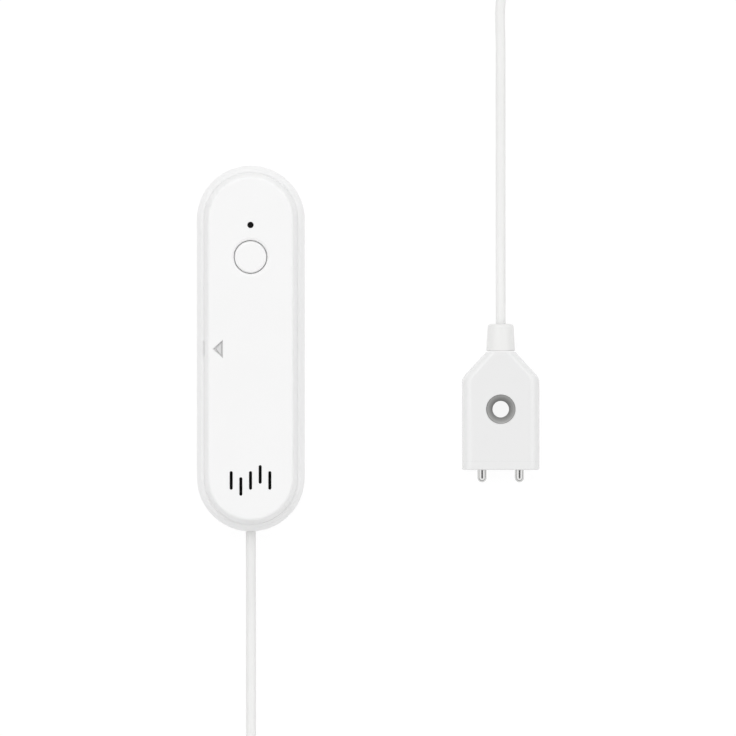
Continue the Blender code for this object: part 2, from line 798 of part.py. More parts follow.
low_wall = tray_low + tray_end_wall
high_wall = tray_high - tray_end_wall
near = contact_width / 2
minus_reach = (-cell_x - near, -cell_x + near)
plus_reach = (cell_x - near, cell_x + near)
bridge_reach = (minus_reach[0], plus_reach[1])
contact_rails(low_wall, 1, (minus_reach, plus_reach))
contact_rails(high_wall, -1, (bridge_reach,))
contact_sheet_at("contact_plate_minus", *minus_reach, low_wall, 1)
contact_spring("contact_spring_lower", -cell_x, low_wall, 1, cell_low)
plate_plus = contact_sheet_at("contact_plate_plus", *plus_reach, low_wall, 1)
contact_nub(plate_plus, cell_x, low_wall, 1, cell_low - seat_gap)
bridge = contact_sheet_at("contact_bridge", *bridge_reach, high_wall, -1)
contact_nub(bridge, -cell_x, high_wall, -1, cell_high + seat_gap)
contact_spring("contact_spring_upper", cell_x, high_wall, -1, cell_high)


# Grommet, header and the cable's two cores inside the unit

grommet_profile = [
    (cable_radius + seat_gap, -unit_end + seat_gap),
    (grommet_radius, -unit_end + seat_gap),
    (grommet_radius, flange_outer),
    (flange_radius, flange_outer),
    (flange_radius, flange_inner),
    (cable_radius + seat_gap, flange_inner),
]
grommet_bm = turned(grommet_profile, "Y", 24, loop=True)
piece("cable_grommet", grommet_bm, white_pvc, unit, (0, 0, cable_height))

header_low = (-header_width / 2, -header_length / 2, part_base)
header_high = (header_width / 2, header_length / 2, header_top)
piece("lead_header", block(header_low, header_high), white_abs, unit, (header_x, header_y, 0))
plug_low = (-header_width / 2, -header_length / 2, header_top + seat_gap)
plug_high = (header_width / 2, header_length / 2, plug_top)
piece("lead_plug", block(plug_low, plug_high), white_abs, unit, (header_x, header_y, 0))

lead_rise = plug_top + 3 * lead_pitch
for i, (name, finish) in enumerate((("sensor_lead_1", red_pvc), ("sensor_lead_2", black_pvc))):
    side = 2 * i - 1
    ring = buzzer_radius + seat_gap + lead_radius + lead_to_buzzer + lead_pitch * i
    route = [(side * lead_pitch / 2, flange_inner + seat_gap, cable_height)]
    for angle in (-80, -60, -40, -20, 0):
        a = radians(angle)
        climb = max(0.0, (angle + 40) / 40)
        z = cable_height + climb * (plug_top - cable_height)
        route.append((ring * cos(a), buzzer_y + ring * sin(a), z))
    route.append((header_x + side * lead_pitch / 2, header_y - 1.5 * lead_pitch, lead_rise - lead_pitch / 2))
    route.append((header_x + side * lead_pitch / 2, header_y, lead_rise - lead_pitch))
    route.append((header_x + side * lead_pitch / 2, header_y, plug_top + seat_gap))
    tube(name, smooth_route(route, 3 * lead_radius), lead_radius, finish, unit, 1)


# Cable: from the grommet to the coil, and from the coil round to the probe

route_step = 6 * cable_radius
unit_route = [
    (0.0, -0.0515, cable_height),
    (0.0, -0.0560, cable_height),
    (0.0, -0.0610, 0.0060),
    (0.0, -0.0690, 0.0045),
    (0.0, -0.0770, 0.0024),
    (0.0, -0.0850, cable_rest),
    (0.0, -0.1000, cable_rest),
    (0.0, -0.1180, cable_rest),
    (0.0, -0.1289, 0.0017),
]
tube("unit_cable", smooth_route(unit_route, route_step, cable_rest), cable_radius, white_pvc)

probe_route = [
    (0.0333, -0.16225, 0.0040),
    (0.0430, -0.1618, 0.0026),
    (0.0550, -0.1602, cable_rest),
    (0.0780, -0.1553, cable_rest),
    (0.1000, -0.1488, cable_rest),
    (0.1190, -0.1412, cable_rest),
    (0.1350, -0.1325, cable_rest),
    (0.1455, -0.1220, cable_rest),
    (0.1488, -0.1080, cable_rest),
    (0.1492, -0.0900, cable_rest),
    (0.1488, -0.0600, cable_rest),
    (0.1483, -0.0200, cable_rest),
    (0.1483, 0.0200, cable_rest),
    (0.1488, 0.0600, cable_rest),
    (0.1491, 0.0880, cable_rest),
    (0.1487, 0.1035, cable_rest),
    (0.1405, 0.1138, cable_rest),
    (0.1270, 0.1172, cable_rest),
    (0.1130, 0.1184, cable_rest),
    (0.1000, 0.1190, cable_rest),
    (0.0897, 0.1187, cable_rest),
    (0.0842, 0.1176, cable_rest),
    (0.0795, 0.1145, cable_rest),
    (0.0763, 0.1098, cable_rest),
    (probe_x, 0.1040, cable_rest),
    (probe_x, 0.0900, cable_rest),
    (probe_x, 0.0650, cable_rest),
    (probe_x, 0.0400, cable_rest),
    (probe_x, 0.0300, 0.0019),
    (probe_x, 0.0210, 0.0033),
    (probe_x, 0.0130, 0.0043),
    (probe_x, 0.0070, probe_mid),
    (probe_x, 0.0000, probe_mid),
]
tube("probe_cable", smooth_route(probe_route, route_step, cable_rest), cable_radius, white_pvc)

coil_middle = coil_bottom + coil_height / 2
coil_half_width = (coil_outer_radius - coil_inner_radius) / 2
coil_ring = (coil_inner_radius + coil_outer_radius) / 2
corner_across = coil_half_width - coil_round
corner_up = coil_height / 2 - coil_round
coil_profile = []
for side, level, start in ((1, 1, 0), (-1, 1, 90), (-1, -1, 180), (1, -1, 270)):
    corner = (coil_ring + side * corner_across, coil_middle + level * corner_up)
    coil_profile += arc(corner, coil_round, start, start + 90, 2)
coil_place = (coil_x, coil_y, 0)
piece("cable_coil", turned(coil_profile, sides=40, loop=True), white_pvc, None, coil_place)

# Tie: a strap round the coil's section, bent with the coil
tie_near = coil_inner_radius - seat_gap
tie_far = coil_outer_radius + seat_gap
tie_high = coil_bottom + coil_height + seat_gap
tie_inner = (tie_near, tie_far, tie_thickness, tie_high)
tie_outer = (tie_near - tie_thickness, tie_far + tie_thickness, 0.0, tie_high + tie_thickness)
tie_steps = 4
tie_bm = bmesh.new()
tie_rows = []
for i in range(tie_steps + 1):
    a = radians(tie_angle - tie_spread + 2 * tie_spread * i / tie_steps)
    row = []
    for near_r, far_r, low_z, high_z in (tie_inner, tie_outer):
        for r, z in ((near_r, low_z), (far_r, low_z), (far_r, high_z), (near_r, high_z)):
            row.append(tie_bm.verts.new((r * cos(a), r * sin(a), z)))
    tie_rows.append(row)
for here, there in zip(tie_rows, tie_rows[1:]):
    for first in (0, 4):
        for k in range(4):
            m = (k + 1) % 4
            tie_bm.faces.new((here[first + k], here[first + m], there[first + m], there[first + k]))
for row in (tie_rows[0], tie_rows[-1]):
    for k in range(4):
        m = (k + 1) % 4
        tie_bm.faces.new((row[k], row[m], row[4 + m], row[4 + k]))
piece("coil_tie", tie_bm, white_tie, None, coil_place)


# Probe: a rounded housing lofted from its narrow neck, with an end cap round the pins

def probe_half_width(depth):
    """Half the housing's width at a depth below its top, with softened shoulder corners."""
    neck = probe_neck_width / 2
    slope = (probe_width / 2 - neck) / probe_shoulder_length
    plain = neck + slope * depth
    over = depth - probe_shoulder_length
    if over >= shoulder_soften:
        return probe_width / 2
    if over > -shoulder_soften:
        return plain - slope * (over + shoulder_soften) ** 2 / (4 * shoulder_soften)
    return plain


body_bottom = end_cap_top + seat_gap
soft_depths = [probe_shoulder_length + shoulder_soften * k / 2 for k in (-2, -1, 0, 1, 2)]
depths = [0.0] + soft_depths + [probe_top - body_bottom]
body_rings = []
for depth in depths:
    width = probe_half_width(depth)
    body_rings.append(rounded_section(width, probe_mid, probe_round, probe_top - depth))
probe_body = piece("probe_body", skin(body_rings), white_abs, probe, (0, 0, probe_mid))

cap_rings = [rounded_section(probe_width / 2, probe_mid, probe_round, end_cap_top)]
for inset, y in arc((end_cap_round, probe_bottom + end_cap_round), end_cap_round, 180, 270, 3):
    cap_rings.append(rounded_section(probe_width / 2 - inset, probe_mid - inset, probe_round - inset, y))
probe_end_cap = piece("probe_end_cap", skin(cap_rings), white_abs, probe, (0, 0, probe_mid))

pin_tip = probe_bottom - pin_reach
pin_top = probe_bottom + pin_depth
pin_hole = pin_radius + seat_gap
for name, side in (("probe_pin_left", -1), ("probe_pin_right", 1)):
    x = side * pin_spacing / 2
    pin_profile = [(p[0], pin_tip + pin_radius + p[1]) for p in arc((0, 0), pin_radius, -80, 0, 4)]
    pin_profile += [(pin_radius, pin_top)]
    piece(name, turned(pin_profile, "Y", 20), stainless_steel, probe, (x, 0, probe_mid))
    for target in (probe_body, probe_end_cap):
        hole = cylinder(pin_hole, probe_bottom - pin_reach, pin_top + seat_gap, "Y", 20)
        cut(target, hole, (x, 0, probe_mid))

eyelet_y = probe_top - eyelet_drop
eyelet_top = probe_thickness
tube_radius = eyelet_bore_radius + eyelet_tube_wall
eyelet_seat = eyelet_top - eyelet_lip - (eyelet_radius - tube_radius)
eyelet_profile = [
    (eyelet_bore_radius, seat_gap),
    (tube_radius, seat_gap),
    (tube_radius, eyelet_seat),
    (eyelet_radius, eyelet_top - eyelet_lip),
    (eyelet_radius, eyelet_top),
    (eyelet_radius - eyelet_rim, eyelet_top),
    (eyelet_bore_radius, eyelet_top - eyelet_sink),
]
piece("probe_eyelet", turned(eyelet_profile, loop=True), stainless_steel, probe, (0, eyelet_y, 0))
pocket_profile = [
    (tube_radius + seat_gap, -probe_mid),
    (tube_radius + seat_gap, eyelet_seat - seat_gap / 2),
    (eyelet_radius + seat_gap, eyelet_top - eyelet_lip - seat_gap / 2),
    (eyelet_radius + seat_gap, eyelet_top + probe_mid),
]
cut(probe_body, turned(pocket_profile), (0, eyelet_y, 0))

# Boot: the cable's strain relief, a tapered sleeve on the probe's neck
boot_low = probe_top + seat_gap
boot_high = boot_low + boot_length
boot_profile = [(cable_radius + seat_gap, boot_low), (boot_base_radius, boot_low)]
boot_profile += arc((boot_tip_radius - boot_round, boot_high - boot_round), boot_round, 0, 90, 3)
boot_profile += [(cable_radius + seat_gap, boot_high)]
piece("probe_boot", turned(boot_profile, "Y", loop=True), white_pvc, probe, (0, 0, probe_mid))
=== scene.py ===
from math import cos, pi, radians, sin
import bmesh
import bpy
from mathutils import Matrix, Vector


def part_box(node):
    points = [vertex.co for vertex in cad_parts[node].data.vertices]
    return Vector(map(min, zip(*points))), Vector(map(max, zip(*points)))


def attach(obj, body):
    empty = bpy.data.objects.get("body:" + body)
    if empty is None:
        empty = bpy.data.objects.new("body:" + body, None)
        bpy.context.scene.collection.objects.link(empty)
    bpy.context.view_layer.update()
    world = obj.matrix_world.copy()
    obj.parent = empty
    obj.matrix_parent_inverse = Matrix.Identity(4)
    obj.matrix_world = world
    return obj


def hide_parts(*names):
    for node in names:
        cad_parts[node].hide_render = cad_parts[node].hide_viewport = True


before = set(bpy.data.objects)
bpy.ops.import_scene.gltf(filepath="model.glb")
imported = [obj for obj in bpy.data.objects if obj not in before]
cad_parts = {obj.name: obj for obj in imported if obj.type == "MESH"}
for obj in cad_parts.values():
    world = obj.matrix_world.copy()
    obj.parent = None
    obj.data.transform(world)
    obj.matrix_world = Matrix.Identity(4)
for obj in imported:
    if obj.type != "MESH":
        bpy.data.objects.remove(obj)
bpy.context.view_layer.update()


# Back shell. The white tub behind the unit, injection moulded in ABS with a spark-eroded outside.
# Its shoulder is rounded, its ribs carry the cover's skirt and three bosses take the board's screws.
# Lengths in this file are in millimetres unless a line says otherwise.

def arc(centre, radius, start, stop, steps):
    """Points along an arc, from one angle in degrees to another."""
    turns = [radians(start + (stop - start) * i / steps) for i in range(steps + 1)]
    return [(centre[0] + radius * cos(a), centre[1] + radius * sin(a)) for a in turns]


def skin(rings, loop=False):
    """Faces over a row of rings, closed at both ends unless the row closes on itself."""
    bm = bmesh.new()
    rows = [[bm.verts.new(point) for point in ring] for ring in rings]
    pairs = list(zip(rows, rows[1:]))
    if loop:
        pairs.append((rows[-1], rows[0]))
    for low, high in pairs:
        for i in range(len(low)):
            j = (i + 1) % len(low)
            bm.faces.new((low[i], low[j], high[j], high[i]))
    if not loop:
        bm.faces.new(rows[0])
        bm.faces.new(rows[-1])
    return bm


def oblong(profile, half_spine, place=(0, 0), steps=72):
    """A solid with two straight sides along Y and round ends, from (radius, height) pairs."""
    rings = []
    for radius, z in profile:
        ends = arc((0, half_spine), radius, 0, 180, steps) + arc((0, -half_spine), radius, 180, 360, steps)
        rings.append([(place[0] + x, place[1] + y, z) for x, y in ends])
    return skin(rings)


def turned(profile, place=(0, 0, 0), axis="Z", sides=96, loop=False):
    """A solid turned from (radius, height) pairs about an axis through a place."""
    rings = []
    for radius, height in profile:
        ring = []
        for i in range(sides):
            u, v = radius * cos(2 * pi * i / sides), radius * sin(2 * pi * i / sides)
            point = (u, v, height) if axis == "Z" else (u, height, -v)
            ring.append([place[k] + point[k] for k in range(3)])
        rings.append(ring)
    return skin(rings, loop)


def block(low, high):
    """A plain box between two corners."""
    around = [(low[0], low[1]), (high[0], low[1]), (high[0], high[1]), (low[0], high[1])]
    return skin([[(x, y, z) for x, y in around] for z in (low[2], high[2])])


def span(node):
    """A CAD node's lowest and highest corners."""
    low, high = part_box(node)
    return low * 1000, high * 1000


def colour(code):
    """An sRGB hex code as a linear colour."""
    parts = [int(code[i:i + 2], 16) / 255 for i in (1, 3, 5)]
    return [c / 12.92 if c <= 0.04045 else ((c + 0.055) / 1.055) ** 2.4 for c in parts] + [1.0]


def add(tree, kind, settings, links=()):
    """A node with its settings, each a property or an input, and its links."""
    made = tree.nodes.new(kind)
    for name, value in settings.items():
        if isinstance(name, str) and name[0].islower():
            setattr(made, name, value)
        else:
            made.inputs[name].default_value = value
    for name, source in dict(links).items():
        tree.links.new(source, made.inputs[name])
    return made


def finish(name, roughness, ior=1.5, metallic=0.0):
    """A new material, with its node tree, its shader and a place on the object in metres."""
    made = bpy.data.materials.new(name)
    made.use_nodes = True
    tree = made.node_tree
    shader = tree.nodes["Principled BSDF"]
    for key, value in {"Roughness": roughness, "IOR": ior, "Metallic": metallic}.items():
        shader.inputs[key].default_value = value
    place = add(tree, "ShaderNodeTexCoord", {}).outputs["Object"]
    return made, tree, shader, place


def moulded(name, light, shade, roughness, grain, depth, ior=1.5):
    """A moulded plastic: two near colours in broad drifts, and the mould's grain in relief."""
    made, tree, shader, place = finish(name, roughness, ior)
    drift = add(tree, "ShaderNodeTexNoise", {"Scale": 1000 / 16, "Detail": 2.0}, {"Vector": place})
    tint = add(tree, "ShaderNodeMix", {"data_type": "RGBA", 6: colour(shade), 7: colour(light)},
               {0: drift.outputs[0]})
    tree.links.new(tint.outputs[2], shader.inputs["Base Color"])
    pits = add(tree, "ShaderNodeTexNoise", {"Scale": 1000 / grain, "Detail": 3.0, "Roughness": 0.6},
               {"Vector": place})
    matt = add(tree, "ShaderNodeMapRange", {"To Min": roughness - 0.05, "To Max": roughness + 0.05},
               {"Value": pits.outputs[0]})
    tree.links.new(matt.outputs[0], shader.inputs["Roughness"])
    relief = add(tree, "ShaderNodeBump", {"Strength": 0.6, "Distance": depth / 1000},
                 {"Height": pits.outputs[0]})
    tree.links.new(relief.outputs[0], shader.inputs["Normal"])
    return made


def solid(name, bm, material=None):
    """An object from a mesh in millimetres."""
    bmesh.ops.scale(bm, vec=(0.001, 0.001, 0.001), verts=bm.verts)
    bmesh.ops.recalc_face_normals(bm, faces=bm.faces)
    mesh = bpy.data.meshes.new(name)
    bm.to_mesh(mesh)
    bm.free()
    if material:
        mesh.materials.append(material)
    made = bpy.data.objects.new(name, mesh)
    bpy.context.scene.collection.objects.link(made)
    return made


def applied(made):
    """Give an object the mesh that its modifiers make."""
    graph = bpy.context.evaluated_depsgraph_get()
    mesh = bpy.data.meshes.new_from_object(made.evaluated_get(graph))
    made.modifiers.clear()
    made.data = mesh


def shape(target, operation, bm, material=None):
    """Cut a shape out of an object, or join it on."""
    tool = solid("tool", bm, material)
    step = target.modifiers.new("step", "BOOLEAN")
    step.operation = operation
    step.solver = "EXACT"
    step.material_mode = "TRANSFER"
    step.object = tool
    applied(target)
    bpy.data.objects.remove(tool)


def settle(made, body, slot, *replaced):
    """Shade a finished mesh by its edges, and fasten it to the body that it moves with."""
    made.data.shade_smooth()
    made.data.set_sharp_from_angle(angle=radians(35))
    even = made.modifiers.new("even", "WEIGHTED_NORMAL")
    even.keep_sharp = True
    applied(made)
    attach(made, body)
    if replaced:
        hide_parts(*replaced)


# Neutral white ABS: dull, with a grain too fine to see, drawn at 0.3 mm so that it shows.
white_abs = moulded("moulded_white_abs", "#F4F4F4", "#F1F1F1", 0.42, 0.3, 0.006, 1.53)

shell_low, shell_high = span("back_shell")
cover_low, cover_high = span("front_cover")
board_low, board_high = span("main_board")
unit_radius = shell_high.x
cover_radius = cover_high.x
spine = shell_high.y - unit_radius
seam = shell_high.z
opening = 14.4
floor = shell_low.z + 1.8
rib_top = cover_low.z + 2.2
rib_pitch = 18.0
lip = 0.03
lip_radius = cover_radius + 0.005
heel, shoulder_round, inner_round = 2.0, 5.1, 1.0

shell_profile = arc((unit_radius - heel, shell_low.z + heel), heel, -90, 0, 8)
shell_profile += arc((unit_radius - shoulder_round, seam - 3.58), shoulder_round, 0, 40, 14)
shell_profile += arc((14.62, seam - 0.62), 0.5, 40, 78, 5)
shell_profile += arc((lip_radius + lip, seam - lip), lip, 90, 180, 3)
shell_profile += [(lip_radius, seam - 0.8), (opening, seam - 1.1)]
shell_profile += arc((opening - inner_round, floor + inner_round), inner_round, 0, -90, 5)
shell = solid("shell_moulding", oblong(shell_profile, spine), white_abs)

# Ribs, cheeks and bosses run this far into the wall or floor that carries them.
bite = 0.9
rib_reach, rib_half_width = 1.3, 0.6
cheek_near, cheek_far, cheek_bottom, cheek_top = 3.7, 4.9, -54.09, -51.28
for side in (-1, 1):
    for step in (-1.5, -0.5, 0.5, 1.5):
        near, far = sorted((side * (opening - rib_reach), side * (opening + bite)))
        y = step * rib_pitch
        rib = block((near, y - rib_half_width, floor - bite), (far, y + rib_half_width, rib_top))
        shape(shell, "UNION", rib)
    near, far = sorted((side * cheek_near, side * cheek_far))
    shape(shell, "UNION", block((near, cheek_bottom, floor - bite), (far, cheek_top, rib_top)))

boss = [(2.6, floor - bite), (2.6, 3.1), (2.4, 3.3)]
boss_hole = [(1.3, 1.9), (1.3, 4.5)]
screw_places = []
for corner in ("upper_left", "upper_right", "lower_left"):
    low, high = span("board_screw_" + corner)
    screw_places.append((corner, (low + high) / 2))
for corner, middle in screw_places:
    place = (middle.x, middle.y, 0)
    shape(shell, "UNION", turned(boss, place, sides=48))
    shape(shell, "DIFFERENCE", turned(boss_hole, place, sides=32))

ring_low, ring_high = span("cable_grommet")
cable_height = (ring_low.z + ring_high.z) / 2
cable_hole = [(2.9, -52.5), (2.9, -54.7)] + arc((3.2, -54.7), 0.3, 180, 270, 4) + [(3.2, -58.0)]
shape(shell, "DIFFERENCE", turned(cable_hole, (0, 0, cable_height), "Y", 48))
pad_seat, pad_seat_spine = [(10.3, -0.2), (10.3, 0.8)], 20.0
shape(shell, "DIFFERENCE", oblong(pad_seat, pad_seat_spine))
settle(shell, "base", "white_abs", "back_shell")


# Mounting pad. Grey acrylic foam, die cut, with adhesive on both faces. It fixes the unit to a wall.

def foamed(name, light, shade, roughness, pore, strength, depth):
    """Foam, its pits in relief, with painted shade dark in each middle and lighter towards the walls."""
    made, tree, shader, place = finish(name, roughness, 1.4)
    pores = add(tree, "ShaderNodeTexVoronoi", {"Scale": 1000 / pore}, {"Vector": place})
    # Painted shade: each pore's colour darkens towards the middle of its pit.
    tint = add(tree, "ShaderNodeMix", {"data_type": "RGBA", 6: colour(shade), 7: colour(light)},
               {0: pores.outputs["Distance"]})
    tree.links.new(tint.outputs[2], shader.inputs["Base Color"])
    relief = add(tree, "ShaderNodeBump", {"Strength": strength, "Distance": depth / 1000},
                 {"Height": pores.outputs["Distance"]})
    tree.links.new(relief.outputs[0], shader.inputs["Normal"])
    return made


# Closed-cell foam is dull and pitted, with cells of about 0.4 mm.
foam = foamed("closed_cell_grey_foam", "#969693", "#6E6E6C", 0.85, 0.4, 0.8, 0.12)

pad_high = span("mounting_pad")[1]
pad_radius = pad_high.x
pad_profile = [(pad_radius - 0.06, 0.0), (pad_radius, 0.08)]
pad_profile += [(pad_radius, pad_high.z), (pad_radius - 0.05, 0.7)]
pad = solid("foam_pad", oblong(pad_profile, pad_high.y - pad_radius), foam)
settle(pad, "base", "foam", "mounting_pad")


# Grommet. A soft white PVC sleeve that lines the cable's hole. Its flange sits between two cheeks
# inside the shell, and it grips the cable.

# Plasticised PVC: a slightly greyer white than the ABS, smooth from the die, with a soft shine.
white_pvc = moulded("extruded_white_pvc", "#EFEFEE", "#EBEBEA", 0.36, 0.5, 0.006, 1.53)

grommet_profile = [(1.56, ring_high.y), (3.3, ring_high.y), (3.4, ring_high.y - 0.1)]
grommet_profile += [(3.4, -52.4), (3.3, -52.48), (2.6, -52.48)]
grommet_profile += arc((2.35, ring_low.y + 0.25), 0.25, 0, -90, 4)
grommet_profile += [(1.7, ring_low.y), (1.56, ring_low.y + 0.14)]
grommet_ring = turned(grommet_profile, (0, 0, cable_height), "Y", 48, loop=True)
grommet = solid("cable_sleeve_ring", grommet_ring, white_pvc)
settle(grommet, "base", "white_pvc", "cable_grommet")


# Board. A 1.2 mm glass-epoxy panel under green solder mask, routed to the shell's outline.
# Its copper tracks show as lighter green lines, and its bare pads are tinned.

def masked(name, light, shade):
    """Solder mask over glass cloth, whose 0.6 mm weave shows faintly in relief."""
    made, tree, shader, place = finish(name, 0.3, 1.52)
    drift = add(tree, "ShaderNodeTexNoise", {"Scale": 1000 / 6, "Detail": 3.0}, {"Vector": place})
    tint = add(tree, "ShaderNodeMix", {"data_type": "RGBA", 6: colour(shade), 7: colour(light)},
               {0: drift.outputs[0]})
    tree.links.new(tint.outputs[2], shader.inputs["Base Color"])
    threads = []
    for way in ("X", "Y"):
        thread = add(tree, "ShaderNodeTexWave", {"bands_direction": way, "Scale": 1000 / 0.6 / 20},
                     {"Vector": place})
        threads.append(thread.outputs["Fac"])
    cloth = add(tree, "ShaderNodeMath", {"operation": "ADD"}, {0: threads[0], 1: threads[1]})
    relief = add(tree, "ShaderNodeBump", {"Strength": 0.2, "Distance": 0.00001}, {"Height": cloth.outputs[0]})
    tree.links.new(relief.outputs[0], shader.inputs["Normal"])
    return made


def plated(name, code, roughness, grain):
    """Bright plated or tinned metal, its roughness broken up by a fine cloud."""
    made, tree, shader, place = finish(name, roughness, metallic=1.0)
    shader.inputs["Base Color"].default_value = colour(code)
    cloud = add(tree, "ShaderNodeTexNoise", {"Scale": 1000 / grain, "Detail": 4.0}, {"Vector": place})
    matt = add(tree, "ShaderNodeMapRange", {"To Min": roughness - 0.04, "To Max": roughness + 0.04},
               {"Value": cloud.outputs[0]})
    tree.links.new(matt.outputs[0], shader.inputs["Roughness"])
    relief = add(tree, "ShaderNodeBump", {"Strength": 0.1, "Distance": 0.00001}, {"Height": cloud.outputs[0]})
    tree.links.new(relief.outputs[0], shader.inputs["Normal"])
    return made


def track(points, width, level):
    """A flat strip along a route on the board, with mitred corners."""
    sunk_by = 0.1
    knots = [Vector(p) for p in points]
    rings = []
    for i, knot in enumerate(knots):
        before = (knot - knots[max(i - 1, 0)]).normalized() if i else (knots[1] - knot).normalized()
        after = (knots[i + 1] - knot).normalized() if i + 1 < len(knots) else before
        across = Vector((-(before.y + after.y), before.x + after.x)).normalized()
        across *= width / 2 / max(0.4, across.dot(Vector((-before.y, before.x))))
        left, right = knot + across, knot - across
        ends = ((left, level), (right, level), (right, level - sunk_by), (left, level - sunk_by))
        rings.append([(p.x, p.y, z) for p, z in ends])
    return skin(rings)


def together(name, *parts):
    """One object of several closed shapes, each a (mesh, material) pair."""
    made = [solid(name, bm, material) for bm, material in parts]
    whole = bmesh.new()
    materials = []
    for piece in made:
        if piece.data.materials[0] not in materials:
            materials.append(piece.data.materials[0])
        index = materials.index(piece.data.materials[0])
        for face in piece.data.polygons:
            face.material_index = index
        whole.from_mesh(piece.data)
    for piece in made[1:]:
        bpy.data.objects.remove(piece)
    made[0].data.materials.clear()
    for material in materials:
        made[0].data.materials.append(material)
    whole.to_mesh(made[0].data)
    whole.free()
    made[0].name = name
    return made[0]


def soft_block(low, high, rounding, steps=3):
    """A box with rounded edges."""
    bm = block(low, high)
    bmesh.ops.bevel(bm, geom=bm.edges, offset=rounding, segments=steps, profile=0.5, affect="EDGES")
    return bm


mask = masked("green_solder_mask", "#1C6A3C", "#175C33")
tracks_mask = masked("mask_over_copper", "#2F8A4C", "#297C44")
tin = plated("tinned_copper", "#C9C8C2", 0.3, 0.4)

board_radius = board_high.x
board_top = board_high.z
edge = 0.06
board_profile = [(board_radius - edge, board_low.z), (board_radius, board_low.z + edge)]
board_profile += [(board_radius, board_top - edge), (board_radius - edge, board_top)]
board = solid("masked_board", oblong(board_profile, spine), mask)
cable_notch = block((-3.7, -56, board_low.z - 1), (3.7, -50.98, board_top + 1))
shape(board, "DIFFERENCE", cable_notch)
for corner, middle in screw_places:
    hole = turned([(1.3, board_low.z - 1), (1.3, board_top + 1)], (middle.x, middle.y, 0), sides=32)
    shape(board, "DIFFERENCE", hole)
settle(board, "base", "board_laminate", "main_board")

switch_low, switch_high = span("switch_body")
chip_low, chip_high = span("control_chip")
coil_low, coil_high = span("drive_coil")
led_low, led_high = span("status_led")
radio_low, radio_high = span("radio_module")
sw = (switch_low + switch_high) / 2
chip = (chip_low + chip_high) / 2
choke = (coil_low + coil_high) / 2
led = (led_low + led_high) / 2
radio = (radio_low + radio_high) / 2
edge_x = board_radius - 1.0
routes = []
for i in range(4):
    y = radio.y - 3.0 + i * 1.3
    x = chip.x - 1.2 + i * 0.8
    routes.append([(x, chip_high.y + 0.2), (x, y - (x - radio_high.x) + 0.4),
                   (radio_high.x + 0.4, y), (radio_high.x - 0.1, y)])
    x = choke.x + 0.9 - i * 0.6
    routes.append([(x, coil_high.y + 1.5), (x, y - (radio_low.x - x) + 0.4),
                   (radio_low.x - 0.4, y), (radio_low.x + 0.1, y)])
routes += [
    [(chip_low.x, chip.y + 0.6), (3.2, chip.y + 0.6), (2.3, chip.y + 1.5), (2.3, led.y - 0.6), (1.5, led.y)],
    [(chip_low.x, chip.y - 0.6), (coil_high.x, chip.y - 0.6)],
    [(chip_low.x, chip.y + 0.0), (0.5, chip.y), (-2.2, chip.y + 2.6), (-2.2, led.y - 0.7), (-1.5, led.y)],
    [(chip.x - 0.8, chip_low.y), (chip.x - 0.8, sw.y + 2.8), (chip.x - 1.3, sw.y + 2.25),
     (switch_high.x, sw.y + 2.25)],
    [(chip.x, chip_low.y), (chip.x, sw.y + 0.6), (5.0, sw.y - 1.6), (5.0, sw.y - 5.6)],
    [(chip_high.x, chip.y), (edge_x, chip.y - 1.9), (edge_x, sw.y - 5.6)],
    [(choke.x, coil_low.y), (choke.x, sw.y + 1.5), (-5.2, sw.y - 0.5), (-5.2, sw.y - 5.6)],
    [(coil_low.x, choke.y), (-edge_x, choke.y - 2.4), (-edge_x, sw.y - 5.6)],
    [(edge_x, -31.0), (edge_x, -38.5), (edge_x - 1.9, -44.5), (6.8, -48.2)],
    [(-edge_x, -31.0), (-edge_x, -39.2), (-edge_x + 2.2, -45.3), (-6.2, -48.8)],
    [(-10.6, -36.4), (-10.6, -39.2), (-9.4, -42.6)],
]
track_width, track_top = 0.28, board_top + 0.035
lines = [(track(route, track_width, track_top), tracks_mask) for route in routes]
land = [(1.45, board_top - 0.1), (2.4, board_top - 0.1), (2.4, board_top + 0.03), (1.45, board_top + 0.03)]
for corner, middle in screw_places:
    lines.append((turned(land, (middle.x, middle.y, 0), sides=32, loop=True), tin))
copper = together("board_tracks", *lines)
settle(copper, "base", "board_laminate")


# Small parts of the board. Ceramic capacitors, film resistors and the clock crystal, reflow soldered.

ceramic = moulded("fired_tan_ceramic", "#B89A74", "#A98C68", 0.45, 0.2, 0.004, 1.6)
resistor_glass = moulded("black_resistor_glass", "#1A1B1D", "#141517", 0.3, 0.2, 0.002, 1.5)


def end_capped(x, y, upright, body, length=1.6, width=0.8, height=0.6):
    """A two-terminal chip part: its body and a tinned cap over each end."""
    half, wide = length / 2, width / 2
    spans = [((-half * 0.62, half * 0.62), wide * 0.94, 0.94, body)]
    spans += [((-half, -half * 0.6), wide, 1.0, tin), ((half * 0.6, half), wide, 1.0, tin)]
    made = []
    for (start, stop), across, tall, material in spans:
        low, high = (start, -across), (stop, across)
        if upright:
            low, high = (-across, start), (across, stop)
        box = soft_block((x + low[0], y + low[1], board_top),
                         (x + high[0], y + high[1], board_top + height * tall), 0.06, 2)
        made.append((box, material))
    return made


